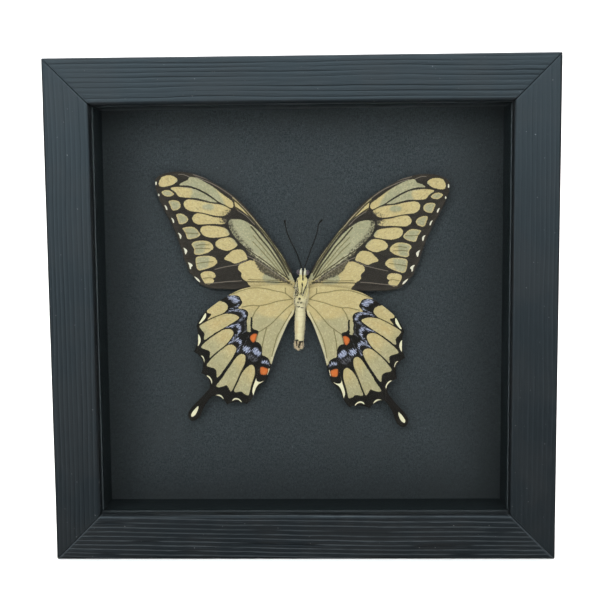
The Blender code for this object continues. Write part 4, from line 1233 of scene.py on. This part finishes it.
def grain_depth(along, around, side):
    """How deep the brushed grain lies below the face, in millimetres, and how much painted highlight its
    ridges carry.
    """
    offset, drift, bow, start, end, highlight_strength = RAIL_GRAIN[side]
    seed = SEED + 13 * sorted(RAIL_GRAIN).index(side)
    place = along / 100.0
    wave = 0.42 * smooth_noise(along / 34.0, around / 7.0, seed)
    wave = wave + 0.12 * smooth_noise(along / 11.0, around / 3.0, seed + 1)
    narrow, wide = GRAIN_PITCH
    across = np.clip(around - offset - drift * place / 2 - bow * place ** 2 - wave, -3.0, RAIL_FACE + 6.0)
    widening = (wide - narrow) / RAIL_FACE
    phase = np.log(1 + across * widening / narrow) / widening
    line = np.round(phase)
    gap = (phase - line) * (narrow + across * widening)
    strength = start + (end - start) * soft(place, -1, 1)
    strong = 0.55 + 0.45 * smooth_noise(along / 45.0, line * 7.3, seed + 2)
    main = GRAIN_DEPTH * strength * strong * np.exp(-(gap / GRAIN_WIDTH) ** 2)
    fine_gap = (phase * 3 - np.round(phase * 3)) * narrow / 3
    broken = smooth_noise(along / 18.0, np.round(phase * 3) * 3.1, seed + 3)
    fine = FINE_GRAIN_DEPTH * strength * (0.5 + 0.5 * broken)
    fine = fine * np.exp(-(fine_gap / 0.16) ** 2)
    # painted highlight: pale lines just beside the grain's grooves and faint pale specks, scaled by the
    # rail's highlight strength
    broken = soft(smooth_noise(along / 16.0, line * 5.7, seed + 5), -0.9, -0.3)
    rubbed = highlight_strength * (0.35 + 0.65 * strong) * broken * np.exp(-((gap - 0.42) / 0.24) ** 2)
    rubbed = rubbed + 0.15 * highlight_strength * soft(smooth_noise(along / 9.0, around / 0.45, seed + 6), 0.5, 0.95)
    return main + fine + 0.012 * (1 + smooth_noise(along / 6.0, around / 0.5, seed + 4)), rubbed


def build_rail(side, material):
    """One mitred rail with its rounded arrises, rebate and brushed grain."""
    low, high = (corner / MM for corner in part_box(f"rail_{side}"))
    level = side in ("top", "bottom")
    span = (high.x - low.x) if level else (high.z - low.z)
    middle = (low + high) / 2
    section, normals, around = rail_section(high.y - low.y)
    share = np.linspace(-1, 1, RAIL_STATIONS)[:, None]
    whole = (CAD_BOX[1] - CAD_BOX[0]) / MM
    # the joint is open at the face and closed behind it, so no light comes through
    closed = soft(section[:, 1], 1.0, 2.5)
    open_end, closed_end = span / 2 + MITRE_GAP / 2, (whole[0] if level else whole[2]) / 2 - CLOSED_GAP
    along = share * (open_end + (closed_end - open_end) * closed - section[:, 0])[None, :]
    around = np.broadcast_to(around, along.shape)
    to_mitre = (1 - np.abs(share)) * (span / 2 - section[:, 0][None, :])
    sunk, rubbed = grain_depth(along, around, side)
    joint = np.exp(-(to_mitre / JOINT_WIDTH) ** 2)
    sunk = sunk + JOINT_DEPTH * joint
    # the mitre joint carries the same painted highlight, scaled by the rail's highlight strength
    rubbed = np.maximum(rubbed, 0.8 * joint * RAIL_GRAIN[side][-1])
    # nothing behind the lip is grained
    seen = (section[:, 1] < LIP) | (section[:, 0] < 0.1)
    sunk = np.where(seen[None, :], sunk, 0.0)
    across = section[:, 0][None, :] - normals[:, 0][None, :] * sunk
    deep = section[:, 1][None, :] - normals[:, 1][None, :] * sunk
    y = low.y + deep
    if level:
        x = middle.x + along
        z = low.z + across if side == "bottom" else high.z - across
    else:
        x = low.x + across if side == "left" else high.x - across
        z = middle.z + along
    points = np.stack([x, y, z], -1).reshape(-1, 3) * MM
    faces = ring_faces(RAIL_STATIONS, len(section))
    rail = new_piece(f"rail_{side}_grained", points, faces, material, sharp=60)
    face_outward(rail)
    add_values(rail, sunk=sunk.reshape(-1), along=along.reshape(-1), around=around.reshape(-1),
               rubbed=rubbed.reshape(-1))
    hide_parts(f"rail_{side}")
    return rail


def face_outward(piece):
    """Turn all faces of a closed piece outwards."""
    form = bmesh.new()
    form.from_mesh(piece.data)
    bmesh.ops.recalc_face_normals(form, faces=form.faces)
    form.to_mesh(piece.data)
    form.free()


def wood_material(name, sheen):
    """Black-stained softwood, brushed along the grain, satin, with a painted highlight on its ridges."""
    s = Shader(name, roughness=0.42, IOR=1.35, Specular_Tint=(0.64 * sheen, 0.87 * sheen, sheen, 1.0))
    along = s.times(s.attribute("along"), 0.12)
    around = s.times(s.attribute("around"), 2.2)
    grain_place = s.node("ShaderNodeCombineXYZ", {0: along, 1: around}).outputs[0]
    streak = s.noise(grain_place, 1.6, 4.0, 0.6)
    fine = s.noise(grain_place, 6.0, 3.0, 0.7)
    cloud = s.noise(s.place(), 0.05, 3.0, 0.5)
    speck = s.noise(s.place(), 1.1, 1.0, 0.4)
    colour = s.mix(streak, (0.0035, 0.0044, 0.005), (0.008, 0.0095, 0.0105))
    colour = s.mix(s.step(cloud, 0.4, 0.65, 0.0, 0.5), colour, (0.0105, 0.0095, 0.0088))
    colour = s.mix(s.step(s.attribute("sunk"), 0.03, 0.12, 0.0, 0.85), colour, (0.002, 0.0022, 0.0025))
    # pale lines on the ridges and joints are a painted highlight, where light would catch them
    rubbed = s.times(s.attribute("rubbed"), s.step(streak, 0.3, 0.6, 0.5, 1.0))
    colour = s.mix(rubbed, colour, (0.05, 0.058, 0.062))
    colour = s.mix(s.step(speck, 0.77, 0.8, 0.0, 0.6), colour, (0.16, 0.16, 0.16))
    s.set("Base Color", colour)
    satin = s.step(s.plus(streak, s.times(cloud, 0.5)), 0.3, 1.2, 0.36, 0.52)
    s.set("Roughness", satin)
    s.bump(s.plus(s.times(fine, 0.7), streak), 0.05, 0.35)
    return s.material


# ---------------------------------------------------------------- spacers, board, glass and back

SPACER_CHAMFER = {"top": 0.08, "bottom": 0.55, "left": 0.45, "right": 0.45}
SPACER_STATIONS = 40
SPACER_WOBBLE = 0.05


def build_spacer(side, material):
    """A black strip that holds the glass off the board; its front edge is cut back a little."""
    low, high = (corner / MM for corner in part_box(f"spacer_{side}"))
    across_axis = 2 if side in ("top", "bottom") else 0
    along_axis = 2 - across_axis
    wall = {"top": low, "bottom": high, "left": high, "right": low}[side][across_axis]
    back = {"top": high, "bottom": low, "left": low, "right": high}[side][across_axis]
    outward = math.copysign(1.0, back - wall)
    corner = SPACER_CHAMFER[side]
    section = [(wall, high.y), (wall, low.y + corner),
               (wall + outward * corner * 0.3, low.y + corner * 0.3),
               (wall + outward * corner, low.y), (back, low.y), (back, high.y)]
    start, end = low[along_axis], high[along_axis]
    points = []
    for place in np.linspace(start, end, SPACER_STATIONS):
        for number, (across, deep) in enumerate(section):
            noise = smooth_noise(np.array(place / 9.0), np.array(float(number)), SEED + 40)
            wobble = SPACER_WOBBLE * float(noise)
            point = [0.0, deep, 0.0]
            point[across_axis] = across + outward * (abs(wobble) if number < 4 else 0.0)
            point[along_axis] = place
            points.append(point)
    faces = ring_faces(SPACER_STATIONS, len(section))
    spacer = new_piece(f"spacer_{side}_strip", np.array(points) * MM, faces, material, sharp=30)
    face_outward(spacer)
    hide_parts(f"spacer_{side}")


def spacer_material(name, behind, edge_highlight):
    """Matt black card, with painted light that makes it paler towards the board and a painted highlight along
    its front edge, by the given amounts.
    """
    s = Shader(name, roughness=0.9, IOR=1.08)
    at = s.place()
    fibre = s.noise(at, 1.4, 4.0, 0.7)
    depth = s.part(at, 1)
    front = s.step(depth, -9.25, -8.95, 1.0, 0.0)
    colour = s.mix(fibre, (0.007, 0.0095, 0.0105), (0.016, 0.021, 0.023))
    # painted light: the face grows paler towards the board, by the amount given
    painted_back_light = s.mix(fibre, (0.03, 0.035, 0.038), (0.05, 0.056, 0.06))
    colour = s.mix(s.step(depth, -9.0, 6.0, 0.0, behind), colour, painted_back_light)
    # painted highlight: a paler front edge, its strength given for each side
    rubbed = ((0.028, 0.034, 0.037), (0.05, 0.058, 0.062))
    edge = s.mix(fibre, *(tuple(edge_highlight * part for part in shade) for shade in rubbed))
    s.set("Base Color", s.mix(front, colour, edge))
    s.bump(fibre, 0.08, 0.4)
    return s.material


def paper_material():
    """Black construction paper: short fibres lying every way, with painted shade beside the side walls and
    the bottom wall.
    """
    s = Shader("black_paper", roughness=0.8, IOR=1.3)
    at = s.place()
    fibre = s.noise(s.place((1.2, 1.0, 0.55)), 1.5, 3.0, 0.75)
    cross = s.noise(s.place((0.5, 1.0, 1.2)), 2.0, 3.0, 0.7)
    fleck = s.noise(at, 1.3, 1.0, 0.4)
    cloud = s.noise(at, 0.06, 2.0, 0.5)
    mixed = s.plus(s.times(fibre, 0.6), s.times(cross, 0.4))
    colour = s.mix(s.step(mixed, 0.36, 0.64), (0.0092, 0.0128, 0.0145), (0.031, 0.0385, 0.0425))
    colour = s.mix(s.step(cloud, 0.35, 0.7, 0.0, 0.4), colour, (0.021, 0.025, 0.0265))
    colour = s.mix(s.step(fleck, 0.74, 0.8, 0.0, 0.4), colour, (0.1, 0.105, 0.11))
    # painted shade: darker within 30 mm of the side walls and the bottom wall, where the frame's depth shades
    # the board
    beside = s.minus(82.0, s.math("ABSOLUTE", s.part(at, 0)))
    below = s.minus(s.part(at, 2), 19.0)
    painted_wall_shade = s.step(s.math("MINIMUM", beside, below), 0.0, 30.0, 0.42, 0.0)
    colour = s.mix(painted_wall_shade, colour, (0.004, 0.006, 0.007))
    s.set("Base Color", colour)
    s.bump(mixed, 0.12, 0.5)
    return s.material


def hardboard_material():
    """Brown pressed fibre, a little blotched."""
    s = Shader("hardboard", roughness=0.62)
    at = s.place()
    fibre = s.noise(at, 1.2, 4.0, 0.75, 0.6)
    cloud = s.noise(at, 0.03, 3.0, 0.5)
    colour = s.mix(fibre, (0.11, 0.06, 0.03), (0.3, 0.18, 0.095))
    colour = s.mix(s.step(cloud, 0.4, 0.65, 0.0, 0.45), colour, (0.16, 0.095, 0.05))
    s.set("Base Color", colour)
    s.set("Roughness", s.step(fibre, 0.3, 0.7, 0.5, 0.75))
    s.bump(fibre, 0.15, 0.6)
    return s.material


def steel_material():
    """Thin zinc-plated steel, a little spangled and scuffed."""
    s = Shader("zinc_steel", roughness=0.35, Metallic=1.0)
    at = s.place()
    spangle = s.node("ShaderNodeTexVoronoi", {"Vector": at, "Scale": 0.9}).outputs["Color"]
    spangle = s.node("ShaderNodeSeparateXYZ", {0: spangle}).outputs[0]
    scuff = s.noise(s.place((4.0, 1.0, 0.6)), 0.8, 4.0, 0.7)
    s.set("Base Color", s.mix(spangle, (0.50, 0.51, 0.52), (0.66, 0.66, 0.64)))
    s.set("Roughness", s.step(s.plus(scuff, s.times(spangle, 0.3)), 0.4, 0.9, 0.26, 0.5))
    s.bump(scuff, 0.03, 0.3)
    return s.material


def plain(name, colour, roughness):
    """One even colour."""
    s = Shader(name, roughness=roughness)
    s.surface.inputs["Base Color"].default_value = (*colour, 1.0)
    return s.material


def glass_material():
    """A clear, coated pane: light passes straight through and very little is mirrored at its faces."""
    s = Shader("clear_glass")
    clear = s.node("ShaderNodeBsdfTransparent", {"Color": (0.96, 0.965, 0.96, 1.0)})
    shine = s.node("ShaderNodeBsdfGlossy", {"Color": (0.12, 0.13, 0.14, 1.0), "Roughness": 0.03})
    edge_on = s.node("ShaderNodeLayerWeight", {"Blend": 0.5}).outputs["Facing"]
    mirrored = s.plus(s.times(s.math("POWER", edge_on, 4.0), 0.8), 0.034)
    both = s.node("ShaderNodeMixShader", {0: mirrored, 1: clear.outputs[0], 2: shine.outputs[0]})
    s.tree.links.new(both.outputs[0], s.output.inputs["Surface"])
    return s.material


def dress(names, material):
    """Give CAD nodes a better material."""
    for name in names:
        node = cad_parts[name]
        node.data.materials.clear()
        node.data.materials.append(material)


def finish_frame():
    """New rails and spacers, and better materials for the rest of the frame."""
    wood = wood_material("stained_wood", 1.0)
    # the strips' paler front edges are painted highlights, strongest on the upright ones
    upright = spacer_material("upright_spacer", 0.0, 1.5)
    # the bottom rail's copy has dimmer reflections: a shaded copy that makes that rail darker
    rails = {"top": wood, "bottom": wood_material("stained_wood_shaded", 0.6), "left": wood, "right": wood}
    # the top spacer's copy carries painted light, paler towards the board
    painted_back_light = spacer_material("top_spacer_painted_light", 1.0, 1.0)
    lowest = spacer_material("bottom_spacer", 0.0, 0.9)
    strips = {"top": painted_back_light, "bottom": lowest, "left": upright, "right": upright}
    for side in rails:
        build_rail(side, rails[side])
        build_spacer(side, strips[side])
    dress(["mount_board"], paper_material())
    dress(["glass"], glass_material())
    dress(["back_panel"], hardboard_material())
    points = [f"point_{number}" for number in range(1, 9)]
    dress(points + ["sawtooth_hanger", "hanger_nail_left", "hanger_nail_right"], steel_material())


# ---------------------------------------------------------------- stage

# Metres.
FLOOR_REACH = 2.5
FLOOR_RISE = 2.5
FLOOR_BEND = 0.8


def build_stage():
    """A pale floor that sweeps up behind."""
    reach, bend = FLOOR_REACH, FLOOR_BEND
    profile = [(-reach, 0.0), (bend, 0.0)]
    for turn in np.linspace(0.1, math.pi / 2, 12):
        profile.append((bend + bend * math.sin(turn), bend - bend * math.cos(turn)))
    profile.append((2 * bend, FLOOR_RISE))
    vertices = [(x, y, z) for y, z in profile for x in (-reach, reach)]
    faces = [(2 * i, 2 * i + 1, 2 * i + 3, 2 * i + 2) for i in range(len(profile) - 1)]
    mesh = bpy.data.meshes.new("floor")
    mesh.from_pydata(vertices, [], faces)
    mesh.polygons.foreach_set("use_smooth", [True] * len(faces))
    mesh.materials.append(plain("pale_floor", (0.9, 0.9, 0.9), 0.9))
    floor = bpy.data.objects.new("floor", mesh)
    bpy.context.scene.collection.objects.link(floor)
    floor.visible_glossy = False


def add_light(name, place, aim, size, watts, colour=(1.0, 1.0, 1.0)):
    """A rectangular lamp at a place, turned to an aim."""
    lamp = bpy.data.lights.new(name, "AREA")
    lamp.shape = "RECTANGLE"
    lamp.size, lamp.size_y = size
    lamp.energy = watts
    lamp.color = colour
    made = bpy.data.objects.new(name, lamp)
    made.location = place
    made.rotation_euler = (Vector(aim) - Vector(place)).to_track_quat("-Z", "Y").to_euler()
    bpy.context.scene.collection.objects.link(made)


def build_lights():
    """A broad softbox above the camera, two weaker ones beside it, one on the sweep and a weak fill."""
    front = (0.0, 0.0, 0.10)
    cool = (0.95, 0.98, 1.0)
    add_light("softbox", (-0.06, -0.75, 0.53), front, (1.3, 0.5), 13.3, cool)
    add_light("side_left", (-0.52, -0.72, 0.10), front, (0.36, 0.5), 2.6, cool)
    add_light("side_right", (0.55, -0.7, 0.2), front, (0.36, 0.4), 1.6, cool)
    add_light("sweep", (0.0, 0.5, 2.2), (0.0, 1.2, 0.3), (2.0, 1.5), 90.0)
    world = bpy.data.worlds.new("studio")
    world.use_nodes = True
    world.node_tree.nodes["Background"].inputs["Color"].default_value = (1.0, 1.0, 1.0, 1.0)
    world.node_tree.nodes["Background"].inputs["Strength"].default_value = 0.12
    bpy.context.scene.world = world
    bpy.context.scene.view_settings.view_transform = "Standard"


# Millimetres for the lens and sensor, metres for the place.
SENSOR_WIDTH = 36.0
LENS = 59.73
CAMERA_PLACE = (0.00853, -0.41019, 0.14386)
CAMERA_TURN = (math.radians(84.549), math.radians(0.500), math.radians(1.323))


def build_camera():
    """In front of the glass, a little to the right and well above its middle, tipped down to it."""
    data = bpy.data.cameras.new("camera")
    data.sensor_width = SENSOR_WIDTH
    data.lens = LENS
    camera = bpy.data.objects.new("camera", data)
    camera.location = CAMERA_PLACE
    camera.rotation_euler = CAMERA_TURN
    bpy.context.scene.collection.objects.link(camera)
    bpy.context.scene.camera = camera


def main():
    build_camera()
    build_lights()
    build_stage()
    finish_frame()
    build_wings()
    build_body()
    build_antennae()
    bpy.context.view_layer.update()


main()
